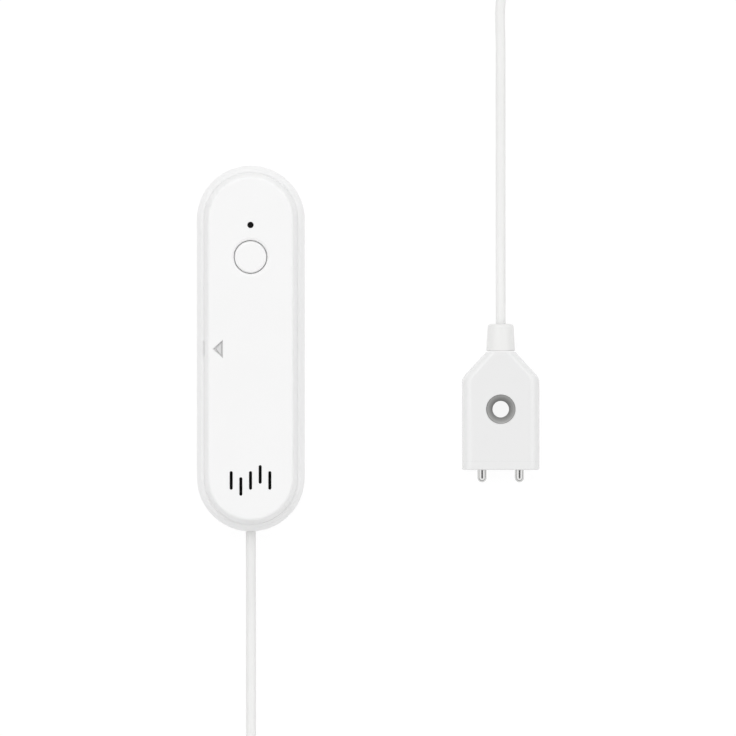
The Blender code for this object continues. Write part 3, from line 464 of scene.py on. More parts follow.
small_places = [
    (-3.9, chip.y + 1.9, True, ceramic), (-3.9, chip.y - 2.6, False, ceramic),
    (3.6, sw.y + 4.4, True, ceramic), (4.0, led.y + 0.4, True, resistor_glass),
    (-4.1, led.y + 0.9, True, resistor_glass), (chip.x - 1.2, chip.y + 4.6, True, resistor_glass),
    (chip.x + 0.4, chip.y + 5.6, True, ceramic), (choke.x + 0.9, choke.y + 3.9, True, ceramic),
    (choke.x - 2.9, choke.y + 3.6, True, ceramic), (chip.x + 3.6, chip.y - 4.4, True, resistor_glass),
    (choke.x + 0.3, choke.y - 4.0, False, resistor_glass), (9.6, -40.2, True, ceramic),
    (-10.5, -38.2, True, resistor_glass),
]
small = []
for x, y, upright, body in small_places:
    small += end_capped(x, y, upright, body)
passives = together("board_small_parts", *small)
settle(passives, "base", "black_plastic")

x, y = chip.x + 3.1, chip.y + 5.0
lid = soft_block((x - 1.1, y - 1.5, board_top + 0.3), (x + 1.1, y + 1.5, board_top + 0.75), 0.12)
seat = soft_block((x - 1.25, y - 1.65, board_top), (x + 1.25, y + 1.65, board_top + 0.32), 0.05, 2)
crystal = together("clock_crystal", (lid, tin), (seat, ceramic))
settle(crystal, "base", "nickel_plate")


# Switch. A tactile switch: a black glass-filled nylon body with a stamped steel lid held by four
# melted posts, four tinned legs, and a grey acetal plunger.

black_nylon = moulded("moulded_black_nylon", "#2A2A2B", "#232324", 0.42, 0.3, 0.008, 1.53)
grey_acetal = moulded("moulded_grey_acetal", "#A2A29F", "#999996", 0.4, 0.3, 0.004, 1.48)
# Nickel plate is a warmer, greyer metal than tin.
nickel = plated("nickel_plated_steel", "#BDB8AC", 0.28, 0.3)

side = switch_high.x
lid_level = switch_high.z - 0.22
lid_half, post_half_pitch, leg_half_pitch, leg_half_width = 2.9, 2.35, 2.25, 0.35
body_box = soft_block((-side, sw.y - side, switch_low.z - 0.25), (side, sw.y + side, lid_level), 0.15)
body = solid("tactile_switch", body_box, black_nylon)
shape(body, "DIFFERENCE", turned([(1.95, 6.6), (1.95, 9.5)], (0, sw.y, 0), sides=48))
settle(body, "base", "black_plastic", "switch_body")
sheet = soft_block((-lid_half, sw.y - lid_half, lid_level),
                   (lid_half, sw.y + lid_half, switch_high.z), 0.08, 2)
plate = solid("switch_lid", sheet, nickel)
shape(plate, "DIFFERENCE", turned([(2.0, 8.0), (2.0, 9.0)], (0, sw.y, 0), sides=48))
settle(plate, "base", "nickel_plate")
posts = []
post_head = [(0.45, lid_level)] + arc((0, switch_high.z - 0.1), 0.45, 10, 80, 4)
for x in (-1, 1):
    for y in (-1, 1):
        post_place = (x * post_half_pitch, sw.y + y * post_half_pitch, 0)
        posts.append((turned(post_head, post_place, sides=20), black_nylon))
        leg_y = sw.y + y * leg_half_pitch
        near, far = sorted((x * 2.8, x * 3.95))
        foot = soft_block((near, leg_y - leg_half_width, board_top + 0.02),
                          (far, leg_y + leg_half_width, board_top + 0.22), 0.05, 2)
        near, far = sorted((x * 2.95, x * 3.2))
        riser = soft_block((near, leg_y - leg_half_width, board_top + 0.05),
                           (far, leg_y + leg_half_width, board_top + 1.3), 0.06, 2)
        posts += [(foot, tin), (riser, tin)]
legs = together("switch_legs", *posts)
settle(legs, "base", "nickel_plate")

stem_low, stem_high = span("switch_plunger")
stem_profile = [(1.55, stem_low.z), (1.75, stem_low.z + 0.1)]
stem_profile += arc((1.5, stem_high.z - 0.25), 0.25, 0, 90, 5)
stem = solid("switch_stem", turned(stem_profile, (0, sw.y, 0), sides=48), grey_acetal)
settle(stem, "plunger", "grey_plastic", "switch_plunger")


# Indicator. A side-terminal LED: a white ceramic-filled base with a clear lens over its die.

lens_resin = moulded("clear_lens_resin", "#EFE8C6", "#E7DFB6", 0.12, 0.3, 0.001, 1.52)
base_white = moulded("white_package_resin", "#EDEDE8", "#E6E6E0", 0.4, 0.3, 0.003, 1.53)
base_box = soft_block((led_low.x + 0.25, led_low.y, board_top + 0.02),
                      (led_high.x - 0.25, led_high.y, led_low.z + 0.5), 0.06, 2)
lens_box = soft_block((-0.95, led_low.y + 0.12, led_low.z + 0.45),
                      (0.95, led_high.y - 0.12, led_high.z), 0.25, 4)
ends = []
for x in (-1, 1):
    near, far = sorted((x * 1.1, x * led_high.x))
    terminal = soft_block((near, led_low.y + 0.05, board_top + 0.01),
                          (far, led_high.y - 0.05, led_low.z + 0.3), 0.05, 2)
    ends.append((terminal, tin))
lamp_piece = together("indicator_led", (base_box, base_white), (lens_box, lens_resin), *ends)
settle(lamp_piece, "base", "led_resin", "status_led")


# Chip and choke. The controller is a flat epoxy package with tinned lands along its edges. The
# choke that drives the buzzer is a square ferrite shield round a drum core.

epoxy = moulded("moulded_black_epoxy", "#202123", "#1A1B1D", 0.5, 0.15, 0.004, 1.55)
ferrite = moulded("pressed_grey_ferrite", "#4A4A4C", "#414143", 0.55, 0.2, 0.01, 1.6)

# Packages stand this far off the board, on their solder.
stand = 0.03
package_box = soft_block((chip_low.x, chip_low.y, board_top + stand), tuple(chip_high), 0.05, 2)
package = solid("controller_package", package_box, epoxy)
corner_dot = turned([(0.35, chip_high.z - 0.06), (0.4, chip_high.z + 0.5)],
                    (chip_low.x + 0.75, chip_high.y - 0.75, 0), sides=24)
shape(package, "DIFFERENCE", corner_dot)
settle(package, "base", "black_plastic", "control_chip")
land_pitch, land_half_width, land_start, land_stop, land_height = 0.5, 0.11, 2.3, 2.62, 0.2
lands = []
for i in range(8):
    step = (i - 3.5) * land_pitch
    for way in (-1, 1):
        near, far = sorted((chip.x + way * land_start, chip.x + way * land_stop))
        land = block((near, chip.y + step - land_half_width, board_top),
                     (far, chip.y + step + land_half_width, board_top + land_height))
        lands.append((land, tin))
        near, far = sorted((chip.y + way * land_start, chip.y + way * land_stop))
        land = block((chip.x + step - land_half_width, near, board_top),
                     (chip.x + step + land_half_width, far, board_top + land_height))
        lands.append((land, tin))
lands = together("controller_lands", *lands)
settle(lands, "base", "nickel_plate")

shield_box = soft_block((coil_low.x, coil_low.y, board_top + stand), tuple(coil_high), 0.45, 4)
shield = solid("choke_shield", shield_box, ferrite)
groove = [(1.35, coil_high.z - 0.5), (1.5, coil_high.z - 0.5)]
groove += [(1.5, coil_high.z + 1), (1.35, coil_high.z + 1)]
shape(shield, "DIFFERENCE", turned(groove, (choke.x, choke.y, 0), sides=48, loop=True))
settle(shield, "base", "black_plastic", "drive_coil")


# Radio. A module on its own thin board, soldered by the half holes along its sides, under a
# stamped tin-plated can.

radio_box = soft_block((radio_low.x, radio_low.y, board_top + stand), tuple(radio_high), 0.04, 2)
radio_board = solid("radio_board", radio_box, mask)
settle(radio_board, "base", "board_laminate", "radio_module")
joint_pitch, vent_pitch = 1.2, 1.5
joints = []
for i in range(7):
    y = radio.y + (i - 3) * joint_pitch
    for way in (-1, 1):
        joint = turned([(0.42, board_top), (0.36, board_top + 0.5), (0.3, radio_high.z + 0.02)],
                       (way * (radio_high.x + 0.05), y, 0), sides=16)
        joints.append((joint, tin))
half_holes = together("radio_joints", *joints)
settle(half_holes, "base", "nickel_plate")

can_low, can_high = span("radio_shield")
can_box = soft_block((can_low.x, can_low.y, radio_high.z + 0.02), tuple(can_high), 0.3, 4)
can = solid("radio_can", can_box, tin)
for i in range(3):
    for j in range(3):
        vent = turned([(0.3, can_high.z - 1.2), (0.3, can_high.z + 0.5)],
                      (radio.x + (i - 1) * vent_pitch, radio.y + (j - 1) * vent_pitch, 0), sides=16)
        shape(can, "DIFFERENCE", vent)
settle(can, "base", "nickel_plate", "radio_shield")


# Screws. Three pan-head steel screws with a cross recess hold the board on its bosses.

screw_steel = plated("bright_screw_steel", "#B9BABB", 0.25, 0.5)
head_height = 1.2
for corner, middle in screw_places:
    low, high = span("board_screw_" + corner)
    head = high.z - head_height
    profile = [(0.5, low.z), (1.0, low.z + 0.5), (1.0, board_top + 0.05), (1.82, board_top + 0.05)]
    profile += [(1.9, head)] + arc((0.9, head + 0.2), 1.0, 5, 80, 7) + [(0.05, high.z)]
    screw = solid("screw_" + corner, turned(profile, (middle.x, middle.y, 0), sides=40), screw_steel)
    for half_x, half_y in ((1.1, 0.24), (0.24, 1.1)):
        slot = [[(middle.x + sx * half_x * wide, middle.y + sy * half_y * wide, z)
                 for sx, sy in ((-1, -1), (1, -1), (1, 1), (-1, 1))]
                for z, wide in ((high.z - 0.75, 0.45), (high.z + 0.1, 1.05))]
        shape(screw, "DIFFERENCE", skin(slot))
    settle(screw, "base", "stainless_steel", "board_screw_" + corner)


# Buzzer and its seal. A black piezo sounder with one port, and a ring of black foam that closes the
# gap between it and the cover, so that the sound leaves through the slots.

buzzer_low, buzzer_high = span("buzzer")
buzzer = (buzzer_low + buzzer_high) / 2
top = buzzer_high.z
buzzer_profile = [(7.7, board_top + 0.05), (7.9, board_top + 0.2), (7.9, 6.0), (8.0, 6.1)]
buzzer_profile += arc((7.6, top - 0.4), 0.4, 0, 90, 5)
buzzer_profile += [(6.5, top), (6.4, top - 0.2), (6.1, top - 0.2), (6.0, top), (1.15, top), (1.0, top - 0.15)]
buzzer_profile += [(1.0, top - 1.5)]
sounder = solid("piezo_sounder", turned(buzzer_profile, (0, buzzer.y, 0)), black_nylon)
settle(sounder, "base", "black_plastic", "buzzer")

# Cut foam is black and open, with pores of about 0.3 mm.
black_foam = foamed("cut_black_foam", "#262626", "#0E0E0E", 0.95, 0.3, 0.9, 0.15)

seal_top = span("buzzer_gasket")[1].z
seal_profile = [(6.95, top + 0.02), (7.9, top + 0.02), (8.0, top + 0.3), (8.0, seal_top - 0.2)]
seal_profile += [(7.9, seal_top), (7.0, seal_top), (6.9, seal_top - 0.2), (6.9, top + 0.3)]
seal = solid("foam_seal", turned(seal_profile, (0, buzzer.y, 0), loop=True), black_foam)
settle(seal, "base", "black_foam", "buzzer_gasket")


# Battery tray. Moulded in black ABS: two saddles cradle the cells, the side walls are cut down for a
# finger, and grooved posts at both ends hold the contacts.

black_abs = moulded("moulded_black_abs", "#202021", "#1A1A1B", 0.45, 0.3, 0.01, 1.53)

tray_low, tray_high = span("battery_tray")
left_low, left_high = span("cell_left")
right_low, right_high = span("cell_right")
left_cell, right_cell = (left_low + left_high) / 2, (right_low + right_high) / 2
cell_radius = (left_high.z - left_low.z) / 2
end_wall = 1.0
wall_low, wall_high = tray_low.y + end_wall, tray_high.y - end_wall
bay, side_top, bed = 10.9, 11.2, 5.9
base_level = bed - 0.4
post_edge = bay + 0.4

tray = solid("tray_moulding", block(tray_low, (tray_high.x, tray_high.y, side_top)), black_abs)
shape(tray, "DIFFERENCE", block((-bay, wall_low, bed), (bay, wall_high, side_top + 1)))
finger_half, finger_floor = 10.5, 8.25
finger_gap = block((-12.5, left_cell.y - finger_half, finger_floor),
                   (12.5, left_cell.y + finger_half, side_top + 1))
shape(tray, "DIFFERENCE", finger_gap)
cradle = cell_radius + 0.3
saddle_top, saddle_from_middle, saddle_half_width = 9.3, 14.0, 0.6
saddle = [(-post_edge, base_level), (post_edge, base_level), (post_edge, saddle_top)]
for middle in (right_cell, left_cell):
    saddle += arc((middle.x, middle.z), cradle, -26.2, -153.8, 24)
saddle.append((-post_edge, saddle_top))
for way in (-1, 1):
    y = left_cell.y + way * saddle_from_middle
    faces = (y - saddle_half_width, y + saddle_half_width)
    shape(tray, "UNION", skin([[(x, level, z) for x, z in saddle] for level in faces]))
sheets = {"contact_plate_minus": 1, "contact_plate_plus": 1, "contact_bridge": -1}
posts_at = [(-post_edge, -8.75), (8.75, post_edge), (-1.95, 1.95)]
for wall, way, count in ((wall_low, 1, 3), (wall_high, -1, 2)):
    near, far = sorted((wall - way * end_wall, wall))
    shape(tray, "UNION", block((-post_edge, near, base_level), (post_edge, far, tray_high.z)))
    near, far = sorted((wall - way * 0.5, wall + way * 1.6))
    for x_low, x_high in posts_at[:count]:
        shape(tray, "UNION", block((x_low, near, base_level), (x_high, far, tray_high.z)))
groove_depth, groove_gap = 0.9, 0.3
for name, way in sheets.items():
    low, high = span(name)
    wall = wall_low if way > 0 else wall_high
    near, far = sorted((wall, wall + way * groove_depth))
    groove = block((low.x - groove_gap, near, low.z - groove_gap),
                   (high.x + groove_gap, far, tray_high.z + 1))
    shape(tray, "DIFFERENCE", groove)
rounded = tray.modifiers.new("moulded edges", "BEVEL")
rounded.width = 0.12 / 1000
rounded.segments = 2
rounded.angle_limit = radians(50)
applied(tray)
settle(tray, "base", "black_plastic", "battery_tray")


# Contacts. Nickel-plated spring steel: two plates and a bridge slid into the tray's grooves, each with
# a pressed dome for a positive end or a cone of wire for a negative one.

def dome(x, y_from, way, height):
    """A pressed dome, bulging from a contact sheet towards the cell."""
    profile = [(1.6, 0.0), (1.5, 0.25 * height), (1.2, 0.65 * height), (0.8, 0.9 * height), (0.3, height)]
    return turned([(r, y_from + way * t) for r, t in profile], (x, 0, left_cell.z), "Y", 40)


sheet_thickness = 0.3
for name, way in sheets.items():
    low, high = span(name)
    sheet_y = low.y if way > 0 else high.y
    near, far = sorted((sheet_y, sheet_y + way * sheet_thickness))
    shapes = [(soft_block((low.x, near, low.z), (high.x, far, high.z), 0.08, 2), nickel)]
    if name == "contact_plate_plus":
        shapes.append((dome(right_cell.x, sheet_y + way * 0.25, way, 1.85), nickel))
    if name == "contact_bridge":
        shapes.append((dome(left_cell.x, sheet_y + way * 0.25, way, 1.5), nickel))
    contact = together(name.replace("contact", "spring_steel"), *shapes)
    settle(contact, "base", "nickel_plate", name)


def wire(name, points, radius, material, rounds=4):
    """A round wire or cable along points in metres."""
    curve = bpy.data.curves.new(name, "CURVE")
    curve.dimensions = "3D"
    curve.bevel_depth = radius
    curve.bevel_resolution = rounds
    curve.use_fill_caps = True
    spline = curve.splines.new("POLY")
    spline.points.add(len(points) - 1)
    for slot, point in zip(spline.points, points):
        slot.co = (*point, 1.0)
    curve.materials.append(material)
    made = bpy.data.objects.new(name, curve)
    bpy.context.scene.collection.objects.link(made)
    return made


# Each spring's first turn lies flat on its sheet, and the rest climbs to the cell's end.
spring_seats = (("lower", left_cell.x, wall_low + 0.6, 1), ("upper", right_cell.x, wall_high - 0.6, -1))
spring_points, spring_turns, spring_foot, spring_taper = 120, 3.5, 2.6, 1.3
flat_share, wire_above_sheet, spring_climb = 0.22, 0.3, 1.45
for name, x, sheet_y, way in spring_seats:
    cone = []
    for i in range(spring_points + 1):
        share = i / spring_points
        radius = spring_foot - spring_taper * share
        turn = 2 * pi * spring_turns * share
        rise = wire_above_sheet + spring_climb * max(0.0, share - flat_share) / (1 - flat_share)
        cone.append((0.001 * (x + radius * cos(turn)), 0.001 * (sheet_y + way * rise),
                     0.001 * (left_cell.z + radius * sin(turn))))
    spring = wire("cone_spring_" + name, cone, 0.00025, nickel, 3)
    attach(spring, "base")
    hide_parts("contact_spring_" + name)


# Cells. Two AAA cells: a nickel-plated can in a printed shrink sleeve, folded over at both ends.

can_steel = plated("plated_cell_can", "#C4C2BC", 0.22, 0.6)


def sleeve(name, middle_y, way):
    """A printed sleeve: slate blue, with a pale line and a copper band at the positive end."""
    made, tree, shader, place = finish(name, 0.22, 1.54)
    along = add(tree, "ShaderNodeSeparateXYZ", {}, {0: place}).outputs["Y"]
    shift = add(tree, "ShaderNodeMath", {"operation": "SUBTRACT", 1: middle_y / 1000}, {0: along})
    toward = add(tree, "ShaderNodeMath", {"operation": "MULTIPLY", 1: 1000.0 * way}, {0: shift.outputs[0]})
    edges = []
    for start in (11.0, 11.8, 12.2):
        past = add(tree, "ShaderNodeMath", {"operation": "GREATER_THAN", 1: start}, {0: toward.outputs[0]})
        edges.append(past)
    cloud = add(tree, "ShaderNodeTexNoise", {"Scale": 1000 / 5}, {"Vector": place})
    ink = add(tree, "ShaderNodeMix", {"data_type": "RGBA", 6: colour("#26445C"), 7: colour("#2C4E68")},
              {0: cloud.outputs[0]}).outputs[2]
    for step, code in zip(edges, ("#D8D5CC", "#26445C", "#B0703C")):
        ink = add(tree, "ShaderNodeMix", {"data_type": "RGBA", 7: colour(code)},
                  {0: step.outputs[0], 6: ink}).outputs[2]
    tree.links.new(ink, shader.inputs["Base Color"])
    ripple = add(tree, "ShaderNodeTexNoise", {"Scale": 1000 / 2.5, "Detail": 1.0}, {"Vector": place})
    relief = add(tree, "ShaderNodeBump", {"Strength": 0.25, "Distance": 0.03 / 1000},
                 {"Height": ripple.outputs[0]})
    tree.links.new(relief.outputs[0], shader.inputs["Normal"])
    return made


for name, middle, way in (("left", left_cell, 1), ("right", right_cell, -1)):
    half = (left_high.y - left_low.y) / 2
    jacket = sleeve("printed_sleeve_" + name, middle.y, way)
    tube = [(4.3, -half + 0.05), (4.35, -half)] + arc((4.75, -half + 0.5), 0.5, -90, 0, 4)
    tube += arc((4.75, half - 1.5), 0.5, 0, 90, 4) + [(4.35, half - 1.0), (4.3, half - 1.1)]
    metal = [(3.9, -half + 0.06), (4.4, -half + 0.2), (4.4, half - 1.25), (3.4, half - 1.22)]
    metal += [(3.1, half - 1.5), (2.4, half - 1.5), (2.1, half - 1.1), (1.9, half - 0.9)]
    metal += arc((1.6, half - 0.3), 0.3, 0, 90, 4)
    shapes = []
    for profile, material in ((tube, jacket), (metal, can_steel)):
        shapes.append((turned([(r, way * t) for r, t in profile], tuple(middle), "Y", 72), material))
    cell = together("dry_cell_" + name, *shapes)
    settle(cell, "base", "cell_jacket", "cell_" + name)


# Connector and leads. A two-way header and its crimp plug in natural nylon, and the cable's two cores,
# led round the buzzer.

nylon = moulded("natural_nylon", "#E9E6DA", "#E2DFD2", 0.4, 0.3, 0.004, 1.53)

header_low, header_high = span("lead_header")
plug_low, plug_high = span("lead_plug")
port = (header_low + header_high) / 2
header_box = soft_block((header_low.x, header_low.y, board_top + stand), header_high, 0.12, 2)
header = solid("lead_socket", header_box, nylon)
key_slot = block((port.x - 0.5, header_low.y - 1, 6.2), (port.x + 0.5, header_low.y + 0.35, 9))
shape(header, "DIFFERENCE", key_slot)
settle(header, "base", "white_abs", "lead_header")
plug_gap, core_half_pitch = 0.15, 0.65
plug_box = soft_block((plug_low.x + plug_gap, plug_low.y + plug_gap, header_high.z + 0.02),
                      (plug_high.x - plug_gap, plug_high.y - plug_gap, plug_high.z), 0.15, 2)
plug = solid("lead_housing", plug_box, nylon)
for way in (-1, 1):
    hole = turned([(0.62, plug_high.z - 1.0), (0.62, plug_high.z + 1)],
                  (port.x + way * core_half_pitch, port.y, 0), sides=24)
    shape(plug, "DIFFERENCE", hole)
settle(plug, "base", "white_abs", "lead_plug")


def smooth_route(knots, step, lowest):
    """Close points on a smooth curve through a route, none below a resting height."""
    knots = [Vector(p) for p in knots]
    knots = [2 * knots[0] - knots[1]] + knots + [2 * knots[-1] - knots[-2]]
    line = []
    for a, b, c, d in zip(knots, knots[1:], knots[2:], knots[3:]):
        t1 = (b - a).length ** 0.5
        t2 = t1 + (c - b).length ** 0.5
        t3 = t2 + (d - c).length ** 0.5
        count = max(1, round((c - b).length / step))
        for i in range(count):
            t = t1 + (t2 - t1) * i / count
            ab = a * (t1 - t) / t1 + b * t / t1
            bc = b * (t2 - t) / (t2 - t1) + c * (t - t1) / (t2 - t1)
            cd = c * (t3 - t) / (t3 - t2) + d * (t - t2) / (t3 - t2)
            abc = ab * (t2 - t) / t2 + bc * t / t2
            bcd = bc * (t3 - t) / (t3 - t1) + cd * (t - t1) / (t3 - t1)
            line.append(abc * (t2 - t) / (t2 - t1) + bcd * (t - t1) / (t2 - t1))
    line.append(knots[-2])
    for point in line:
        point.z = max(point.z, lowest)
    return line


lead_colours = (("#B3201F", "#A51D1C", "red_pvc"), ("#1B1B1B", "#171717", "black_pvc"))
lead_ring, lead_pitch = 9.3, 1.3
for i, (light, shade, slot) in enumerate(lead_colours):
    way = 2 * i - 1
    ring = lead_ring + lead_pitch * i
    starts = (ring_high.y - 0.32, ring_high.y + 0.35)
    route = [(way * core_half_pitch, y, cable_height) for y in starts]
    for angle in (-80, -60, -40, -20, 0):
        climb = max(0.0, (angle + 40) / 40)
        a = radians(angle)
        z = cable_height + climb * (plug_high.z - cable_height)
        route.append((ring * cos(a), buzzer.y + ring * sin(a), z))
    x = port.x + way * core_half_pitch
    route += [(x, port.y - 1.95, plug_high.z + 3.25), (x, port.y, plug_high.z + 2.6)]
    route.append((x, port.y, plug_high.z - 0.8))
    core = moulded("extruded_" + slot, light, shade, 0.4, 0.3, 0.004, 1.53)
    points = smooth_route([Vector(p) / 1000 for p in route], 0.0004, 0.0)
    lead = wire("lead_core_%d" % (i + 1), points, 0.0005, core, 3)
    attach(lead, "base")
    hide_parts("sensor_lead_%d" % (i + 1))


# Front cover. A drafted cup in the same ABS, with a rounded edge round its flat face. It has a hole
# for the button, one for the indicator, five staggered sound slots, an engraved arrow on its left and
# a notch at its left seam where a thumbnail lifts it off.

def rimmed(profile_radius, low, top, rim):
    """A cutter's profile that leaves a rounded rim where it breaks the face."""
    flare = arc((profile_radius + rim, top - rim), rim, 180, 90, 4)
    return [(profile_radius, low)] + flare + [(profile_radius + rim, top + 1.0)]


# The arrow's recess is painted a little greyer as shade in the engraving, and its floor is left rough.
recess_shaded_abs = moulded("recess_shaded_white_abs", "#D6D6D6", "#D1D1D1", 0.6, 0.25, 0.02, 1.53)

face = cover_high.z
skirt, edge_round = 8.5, 1.0
cover_profile = arc((11.97, face - edge_round), edge_round, 90, 8, 10)
cover_profile += [(cover_radius, seam), (cover_radius, skirt + 0.2), (cover_radius - 0.2, skirt)]
cover_profile += [(12.7, skirt), (12.5, skirt + 0.2), (12.5, seam)] + arc((10.9, face - 2.5), 0.9, 0, 90, 5)
cover = solid("cover_moulding", oblong(cover_profile, spine), white_abs)
tab_near, tab_far, tab_half_width = 12.8, 13.8, 3.0
for way in (-1, 1):
    for y in (-rib_pitch, rib_pitch):
        near, far = sorted((way * tab_near, way * tab_far))
        tab = block((near, y - tab_half_width, cover_low.z), (far, y + tab_half_width, skirt + 1.6))
        shape(cover, "UNION", tab)
cable_gap = block((-3.7, -56.0, 6.9), (3.7, -47.59, 9.9))
shape(cover, "DIFFERENCE", cable_gap)

# What stands under the face grows from inside it.
root = face - 0.8
middle_rib = block((-0.6, -15.89, 15.0), (0.6, 7.61, root))
shape(cover, "UNION", middle_rib)
pipe_sleeve = [(1.85, 14.4), (1.95, 14.5), (1.95, root)]
shape(cover, "UNION", turned(pipe_sleeve, (0, led.y, 0), sides=48))
collar = [(8.3, face - 3.8), (9.0, face - 3.8), (9.1, face - 3.7), (9.1, root), (8.3, root)]
shape(cover, "UNION", turned(collar, (0, buzzer.y, 0), loop=True))
under_face = 15.8
shape(cover, "DIFFERENCE", turned(rimmed(5.0, under_face, face, 0.9), (0, sw.y, 0)))
shape(cover, "DIFFERENCE", turned(rimmed(0.95, 12.0, face, 0.08), (0, led.y, 0), sides=48))
slot_pitch, slot_half_width, slot_half_spine, slot_rim = 2.9, 0.45, 2.33, 0.18
for i, step in enumerate((0, -1.8, 0, 1.8, 0)):
    slot_place = ((i - 2) * slot_pitch, buzzer.y + step)
    slot = oblong(rimmed(slot_half_width, under_face, face, slot_rim), slot_half_spine, slot_place, 12)
    shape(cover, "DIFFERENCE", slot)


def arrow_head(levels):
    """A solid with the arrow's outline, from (height, inset) pairs."""
    arrow_y = -0.12
    rings = []
    for z, inset in levels:
        tip, back, half = -11.05 + 2.2 * inset, -8.45 - inset, 2.45 - 2.0 * inset
        rings.append([(tip, arrow_y, z), (back, -half + arrow_y, z), (back, half + arrow_y, z)])
    return skin(rings)


sunk = [(18.42, 0.06), (18.84, 0.0), (18.95, -0.08), (19.0, -0.2), (19.5, -0.2)]
raised_floor = [(18.2, 0.3), (18.62, 0.3), (18.73, 0.42)]
pry_notch = block((-14.9, -2.4, seam - 0.5), (-13.3, 2.4, seam + 1.0))
# The arrow's walls and floor take the painted shade.
shape(cover, "DIFFERENCE", arrow_head(sunk), recess_shaded_abs)
shape(cover, "UNION", arrow_head(raised_floor), recess_shaded_abs)
shape(cover, "DIFFERENCE", pry_notch)
settle(cover, "cover", "white_abs", "front_cover")


# Light pipe. A smoked acrylic rod, polished at its end, so that it looks black until the LED is on.

smoked, tree, shader, place = finish("smoked_acrylic", 0.12, 1.49)
haze = add(tree, "ShaderNodeTexNoise", {"Scale": 1000 / 1.5}, {"Vector": place})
tint = add(tree, "ShaderNodeMix", {"data_type": "RGBA", 6: colour("#0B0B0B"), 7: colour("#121212")},
           {0: haze.outputs[0]})
tree.links.new(tint.outputs[2], shader.inputs["Base Color"])
pipe_profile = [(0.8, led_high.z + 0.3), (0.9, led_high.z + 0.4), (0.9, 13.3), (1.45, 13.3)]
pipe_profile += [(1.45, 14.1), (0.9, 14.1), (0.9, face - 0.36), (0.84, face - 0.3)]
pipe = solid("light_pipe_rod", turned(pipe_profile, (0, led.y, 0), sides=48), smoked)
settle(pipe, "cover", "dark_lens", "light_pipe")


# Button. A round ABS cap that sits flush in its hole, with a flange that keeps it in.

cap_low, cap_high = span("button_cap")
button_round = 0.8
cap_profile = [(2.0, cap_low.z), (2.0, 16.3), (6.1, 16.3), (6.2, 16.4), (6.2, 17.1), (4.79, 17.1)]
cap_profile += arc((3.99, cap_high.z - button_round), button_round, 0, 90, 10)
button = solid("button_moulding", turned(cap_profile, (0, sw.y, 0)), white_abs)
settle(button, "button", "white_abs", "button_cap")


# Cable. A 3 mm two-core lead in the same white PVC, about 1.2 m long, from the unit's lower end to
# the probe. What the photo does not show is wound into a tied coil below the unit and led round the
# right. The route is in metres. Its points are those of the CAD model, but for two that lie up to
# 0.4 mm further out, to keep the cable out of the picture's corner.

def eased(value, start, stop):
    """A soft step from 0 to 1 between two values."""
    share = min(max((value - start) / (stop - start), 0.0), 1.0)
    return (1 - cos(pi * share)) / 2


cable_radius = 0.0015
rest = cable_radius + 0.0001
unit_route = [
    (0.0, -0.0515, 0.0062), (0.0, -0.0560, 0.0062), (0.0, -0.0610, 0.0060), (0.0, -0.0690, 0.0045),
    (0.0, -0.0770, 0.0024), (0.0, -0.0850, rest), (0.0, -0.1000, rest), (0.0, -0.1180, rest),
    (0.0, -0.1289, 0.0017),
]
# The coil's turns step inwards twice, climb a layer and step outwards twice. They sag away from the tie.
coil_centre, coil_radius = (0.0210, -0.14125), 0.021
cable_pitch, layer_height, sag_depth = 0.003, 0.0030, 0.0008
tie_angle = radians(65)
coil_route = []
for turn in range(0, 1891, 15):
    inwards = eased(turn, 270, 360) + eased(turn, 630, 720)
    outwards = eased(turn, 1190, 1280) + eased(turn, 1550, 1640)
    ring = coil_radius - cable_pitch * inwards + cable_pitch * outwards
    around = radians(180 + turn)
    sag = sag_depth * (1 - cos(around - tie_angle)) / 2
    height = 0.0025 + layer_height * eased(turn, 920, 1010) - sag
    coil_route.append((coil_centre[0] + ring * cos(around), coil_centre[1] + ring * sin(around), height))
probe_route = [
    (0.0333, -0.16225, 0.0040), (0.0430, -0.1618, 0.0026), (0.0550, -0.1602, rest), (0.0780, -0.1553, rest),
    (0.1000, -0.1488, rest), (0.1190, -0.1412, rest), (0.1350, -0.1325, rest), (0.1458, -0.1222, rest),
    (0.1492, -0.1080, rest), (0.1492, -0.0900, rest), (0.1488, -0.0600, rest), (0.1483, -0.0200, rest),
    (0.1483, 0.0200, rest), (0.1488, 0.0600, rest), (0.1491, 0.0880, rest), (0.1487, 0.1035, rest),
    (0.1405, 0.1138, rest), (0.1270, 0.1172, rest), (0.1130, 0.1184, rest), (0.1000, 0.1190, rest),
    (0.0897, 0.1187, rest), (0.0842, 0.1176, rest), (0.0795, 0.1145, rest), (0.0763, 0.1098, rest),
    (0.0752, 0.1040, rest), (0.0752, 0.0900, rest), (0.0752, 0.0650, rest), (0.0752, 0.0400, rest),
    (0.0752, 0.0300, 0.0019), (0.0752, 0.0210, 0.0033), (0.0752, 0.0130, 0.0043), (0.0752, 0.0070, 0.0045),
    (0.0752, 0.0000, 0.0045),
]
cable_line = smooth_route(unit_route + coil_route + probe_route, 0.0015, rest)
cable = wire("sensor_cable", cable_line, cable_radius, white_pvc)
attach(cable, "base")
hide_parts("unit_cable", "cable_coil", "probe_cable")


# Tie. A twist tie holds the coil: a flat white plastic ribbon with a wire down its middle, closed
# round all the turns, its two ends twisted together and laid along the top of the coil.

tie_plastic = moulded("ribbed_tie_plastic", "#F0F0EE", "#EAEAE8", 0.5, 0.4, 0.02, 1.5)

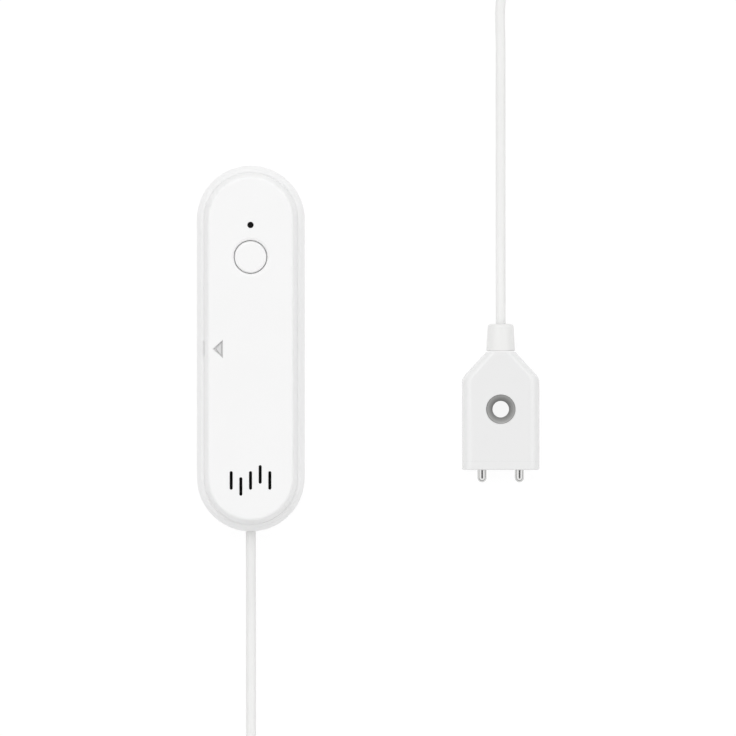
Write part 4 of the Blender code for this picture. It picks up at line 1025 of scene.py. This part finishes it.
outward = Vector((cos(tie_angle), sin(tie_angle), 0))
sideways = Vector((-sin(tie_angle), cos(tie_angle), 0))
middle = Vector((coil_centre[0], coil_centre[1], 0)) * 1000
ribbon = [(-1.6, 0.1), (-0.5, 0.12), (-0.28, 0.38), (0.28, 0.38), (0.5, 0.12), (1.6, 0.1)]
ribbon += [(w, -t) for w, t in reversed(ribbon)]
loop_path = []
bend = 1.9
for way, level, start in ((1, 1, 0), (-1, 1, 90), (-1, -1, 180), (1, -1, 270)):
    corner = (18.0 + way * 3.1, 4.0 + level * 1.6)
    for degrees in range(start, start + 91, 15):
        a = radians(degrees)
        loop_path.append((corner[0] + bend * cos(a), corner[1] + bend * sin(a), a))
rings = []
for r, z, a in loop_path:
    normal = outward * cos(a) + Vector((0, 0, 1)) * sin(a)
    centre = middle + outward * r + Vector((0, 0, z))
    rings.append([centre + sideways * w + normal * t for w, t in ribbon])
tie_shapes = [(skin(rings, loop=True), tie_plastic)]
tail = []
tail_points, tail_twists, tail_height = 60, 3.5, 7.85
for i in range(tail_points + 1):
    share = i / tail_points
    a = tie_angle + radians(4 + 34 * share)
    centre = middle + Vector((cos(a), sin(a), 0)) * (19.5 - 1.5 * share) + Vector((0, 0, tail_height))
    along = Vector((-sin(a), cos(a), 0))
    spin = 2 * pi * tail_twists * share
    wide = Vector((cos(a), sin(a), 0)) * cos(spin) + Vector((0, 0, 1)) * sin(spin)
    thick = along.cross(wide)
    reach = 0.85 * min(1.0, 0.3 + 6 * (1 - share))
    tail.append([centre + wide * w * reach + thick * t for w, t in
                 ((-1, 0.3), (0, 0.42), (1, 0.3), (1, -0.3), (0, -0.42), (-1, -0.3))])
tie_shapes.append((skin(tail), tie_plastic))
tie = together("twist_tie", *tie_shapes)
settle(tie, "base", "white_tie", "coil_tie")


# Probe. Two moulded parts, potted solid: a housing that widens from its neck, and a low end cap
# round the pins. Its ABS is a shade greyer and glossier than the unit's.

def rounded_section(half_width, half_height, radius, y, steps=10):
    """A rounded rectangle across the probe."""
    radius = min(radius, half_width * 0.999, half_height * 0.999)
    ring = []
    for side, level, start in ((1, 1, 0), (-1, 1, 90), (-1, -1, 180), (1, -1, 270)):
        corner = (side * (half_width - radius), level * (half_height - radius))
        ring += [(probe_x + x, y, probe_mid + z) for x, z in arc(corner, radius, start, start + 90, steps)]
    return ring


probe_abs = moulded("moulded_probe_abs", "#ECECEC", "#E9E9E9", 0.24, 0.3, 0.003, 1.56)

body_low, body_high = span("probe_body")
cap_low, cap_high = span("probe_end_cap")
probe_x = (body_low.x + body_high.x) / 2
probe_mid = body_high.z / 2
half = body_high.x - probe_x
neck, shoulder, soften, section_round = 4.45, 7.8, 1.2, 3.3
slope = (half - neck) / shoulder
body_rings = []
shoulder_depths = [shoulder + soften * k / 8 for k in range(-8, 9)]
for depth in [0, 2, 4, 6] + shoulder_depths + [18, body_high.y - cap_high.y]:
    over = depth - shoulder
    half_width = neck + slope * depth
    if over >= soften:
        half_width = half
    elif over > -soften:
        half_width -= slope * (over + soften) ** 2 / (4 * soften)
    body_rings.append(rounded_section(half_width, probe_mid, section_round, body_high.y - depth))
probe = solid("probe_housing", skin(body_rings), probe_abs)
cap_rings = [rounded_section(half, probe_mid, section_round, cap_high.y - 0.01)]
cap_round = 0.4
for a in (0, 30, 60, 90):
    inset = cap_round * (1 - cos(radians(a)))
    y = cap_low.y + 0.2 - cap_round * sin(radians(a))
    cap_rings.append(rounded_section(half - inset, probe_mid - inset, section_round - inset, y))
end_cap = solid("probe_cap", skin(cap_rings), probe_abs)
eye_low, eye_high = span("probe_eyelet")
eye_y = (eye_low.y + eye_high.y) / 2
pocket = [(3.5, -1.0), (3.5, 7.05), (4.41, 8.2), (4.41, 8.95), (4.47, 9.02), (4.47, 10.0)]
shape(probe, "DIFFERENCE", turned(pocket, (probe_x, eye_y, 0)))
pin_bore = [(1.7, -41.0), (1.7, -30.0)]
for name in ("left", "right"):
    low, high = span("probe_pin_" + name)
    for target in (probe, end_cap):
        pin_hole = turned(pin_bore, ((low.x + high.x) / 2, 0, probe_mid), "Y", 32)
        shape(target, "DIFFERENCE", pin_hole)
settle(probe, "base", "white_abs", "probe_body")
settle(end_cap, "base", "white_abs", "probe_end_cap")


# Pins and eyelet. Stainless steel, turned and left bright: the pins are rounded at their tips, and
# the eyelet is a bush with a countersunk mouth for the screw's head.

def turned_steel(name, code, roughness, spacing, place_on, axis):
    """Bright turned steel. The tool's rings are drawn at the spacing given, coarse enough to show."""
    made, tree, shader, place = finish(name, roughness, metallic=1.0)
    shader.inputs["Base Color"].default_value = colour(code)
    shift = add(tree, "ShaderNodeVectorMath", {"operation": "SUBTRACT", 1: place_on}, {0: place})
    parts = add(tree, "ShaderNodeSeparateXYZ", {}, {0: shift.outputs[0]})
    if axis == "Y":
        along = parts.outputs["Y"]
    else:
        flat = add(tree, "ShaderNodeCombineXYZ", {}, {0: parts.outputs["X"], 1: parts.outputs["Y"]})
        outwards = add(tree, "ShaderNodeVectorMath", {"operation": "LENGTH"}, {0: flat.outputs[0]})
        along = outwards.outputs["Value"]
    rings = add(tree, "ShaderNodeTexNoise",
                {"noise_dimensions": "1D", "Scale": 1000 / spacing, "Detail": 2.0}, {"W": along})
    matt = add(tree, "ShaderNodeMapRange", {"To Min": roughness - 0.08, "To Max": roughness + 0.08},
               {"Value": rings.outputs[0]})
    tree.links.new(matt.outputs[0], shader.inputs["Roughness"])
    relief = add(tree, "ShaderNodeBump", {"Strength": 0.3, "Distance": 0.00001}, {"Height": rings.outputs[0]})
    tree.links.new(relief.outputs[0], shader.inputs["Normal"])
    return made


pin_steel = turned_steel("turned_pin_steel", "#D6D6D5", 0.18, 0.2, (0, 0, 0), "Y")
for name in ("left", "right"):
    low, high = span("probe_pin_" + name)
    radius = (high.x - low.x) / 2
    profile = arc((0.0, low.y + radius), radius, -88, 0, 10) + [(radius, high.y)]
    pin = solid("pin_" + name, turned(profile, ((low.x + high.x) / 2, 0, probe_mid), "Y", 48), pin_steel)
    settle(pin, "base", "stainless_steel", "probe_pin_" + name)

bush_steel = turned_steel("turned_bush_steel", "#A3A3A2", 0.38, 0.15, (probe_x / 1000, eye_y / 1000, 0), "Z")
bush_profile = [(2.5, 0.3), (3.2, 0.3), (3.2, 7.2), (4.38, 8.4), (4.38, 8.95), (4.33, 9.0), (4.15, 9.0)]
bush_profile += [(4.1, 8.97), (2.56, 8.08), (2.5, 8.0)]
bush = solid("eyelet_bush", turned(bush_profile, (probe_x, eye_y, 0), loop=True), bush_steel)
settle(bush, "base", "stainless_steel", "probe_eyelet")


# Boot. A tapered PVC sleeve moulded round the cable, butted on the probe's neck.

boot_low, boot_high = span("probe_boot")
boot_profile = [(1.8, boot_low.y), (4.1, boot_low.y), (4.3, boot_low.y + 0.2)]
boot_profile += arc((2.9, boot_high.y - 1.0), 1.0, 0, 90, 8)
boot_profile += [(1.62, boot_high.y), (1.56, boot_high.y - 0.1)]
boot_pvc = moulded("moulded_boot_pvc", "#ECECEB", "#E8E8E7", 0.4, 0.4, 0.006, 1.53)
boot = solid("boot_sleeve", turned(boot_profile, (probe_x, 0, probe_mid), "Y", 64, loop=True), boot_pvc)
settle(boot, "base", "white_pvc", "probe_boot")


# Studio. A white sweep under a broad soft tent, which is brightest towards the picture's top, where one
# softbox stands too. The camera looks straight down through a very long lens, as the photograph does.

scene = bpy.context.scene
scene.view_settings.view_transform = "Standard"

# White paper: lit like any other surface, and lifted towards white for the eye and for reflections.
paper, tree, shader, place = finish("white_paper_sweep", 0.9)
seen = add(tree, "ShaderNodeLightPath", {})
rays = [seen.outputs[name] for name in ("Is Camera Ray", "Is Glossy Ray", "Is Transmission Ray")]
both = add(tree, "ShaderNodeMath", {"operation": "MAXIMUM"}, {0: rays[0], 1: rays[1]})
every = add(tree, "ShaderNodeMath", {"operation": "MAXIMUM"}, {0: both.outputs[0], 1: rays[2]})
bounce = add(tree, "ShaderNodeMix", {"data_type": "RGBA", 6: colour("#F0F0F0"), 7: colour("#FFFFFF")},
             {0: every.outputs[0]})
tree.links.new(bounce.outputs[2], shader.inputs["Base Color"])
share = add(tree, "ShaderNodeMath", {"operation": "MULTIPLY", 1: 0.88}, {0: every.outputs[0]})
glow = add(tree, "ShaderNodeEmission", {"Color": colour("#FFFFFF"), "Strength": 1.03})
lift = add(tree, "ShaderNodeMixShader", {}, {0: share.outputs[0], 1: shader.outputs[0], 2: glow.outputs[0]})
tree.links.new(lift.outputs[0], tree.nodes["Material Output"].inputs["Surface"])
sweep_bm = bmesh.new()
bmesh.ops.create_grid(sweep_bm, x_segments=8, y_segments=8, size=8000)
sweep = solid("paper_sweep", sweep_bm, paper)
paper_drop = 0.0001
sweep.location.z = -paper_drop

world = bpy.data.worlds.new("studio")
scene.world = world
world.use_nodes = True
tree = world.node_tree
lamp_free = tree.nodes["Background"]
heading = add(tree, "ShaderNodeTexCoord", {}).outputs["Generated"]
# The tent is brightest towards the top of the picture. Overhead, where the lens and its arm look in,
# it has a dark gap that lies a little to the right, which puts the dark line on the pins.
lean = add(tree, "ShaderNodeVectorMath", {"operation": "DOT_PRODUCT", 1: (0.05, 0.12, 0.0)}, {0: heading})
height = add(tree, "ShaderNodeSeparateXYZ", {}, {0: heading}).outputs["Z"]
rise = add(tree, "ShaderNodeMapRange",
           {"interpolation_type": "SMOOTHSTEP", "From Min": 0.08, "From Max": 0.62,
            "To Min": 0.34, "To Max": 1.27}, {"Value": height})
side = add(tree, "ShaderNodeMath", {"operation": "ADD"}, {0: lean.outputs["Value"], 1: rise.outputs[0]})
overhead = add(tree, "ShaderNodeVectorMath", {"operation": "DOT_PRODUCT", 1: (0.08, 0.0, 0.997)},
               {0: heading})
gap = add(tree, "ShaderNodeMapRange",
          {"interpolation_type": "SMOOTHSTEP", "From Min": 0.88, "From Max": 0.96,
           "To Min": 1.0, "To Max": 0.1}, {"Value": overhead.outputs["Value"]})
level = add(tree, "ShaderNodeMath", {"operation": "MULTIPLY"}, {0: side.outputs[0], 1: gap.outputs[0]})
tree.links.new(level.outputs[0], lamp_free.inputs["Strength"])
backdrop = add(tree, "ShaderNodeBackground", {"Color": colour("#FFFFFF"), "Strength": 1.0})
lamp_free.inputs["Color"].default_value = colour("#FFFFFF")
seen = add(tree, "ShaderNodeLightPath", {})
mixed = add(tree, "ShaderNodeMixShader", {}, {0: seen.outputs["Is Camera Ray"], 1: lamp_free.outputs[0],
                                              2: backdrop.outputs[0]})
tree.links.new(mixed.outputs[0], tree.nodes["World Output"].inputs["Surface"])

# The softbox draws the soft shadows. Its share is of the light that an even white tent would give a
# surface that faces up. Lengths are in metres from here on.
toward = Vector((-0.08, 0.50, 0.85)).normalized()
distance, softbox_side, softbox_share = 2.2, 1.0, 0.09
softbox = bpy.data.lights.new("softbox", "AREA")
softbox.shape = "RECTANGLE"
softbox.size = softbox_side
softbox.size_y = softbox_side
softbox.energy = softbox_share * pi ** 2 * distance ** 2 / toward.z
holder = bpy.data.objects.new("softbox", softbox)
holder.location = toward * distance
holder.rotation_euler = toward.to_track_quat("Z", "Y").to_euler()
holder.visible_camera = False
scene.collection.objects.link(holder)

lens = bpy.data.cameras.new("camera")
lens.sensor_width = 36.0
lens.clip_start = 0.5
lens.clip_end = 50.0
camera = bpy.data.objects.new("camera", lens)
# The picture is 736 pixels wide, of 0.30 mm each at the level of the cover's face.
camera_height, face_height, picture_width = 4.0, 0.019, 0.2208
camera.location = (0.03525, -0.00585, camera_height)
lens.lens = lens.sensor_width * (camera_height - face_height) / picture_width
scene.collection.objects.link(camera)
scene.camera = camera
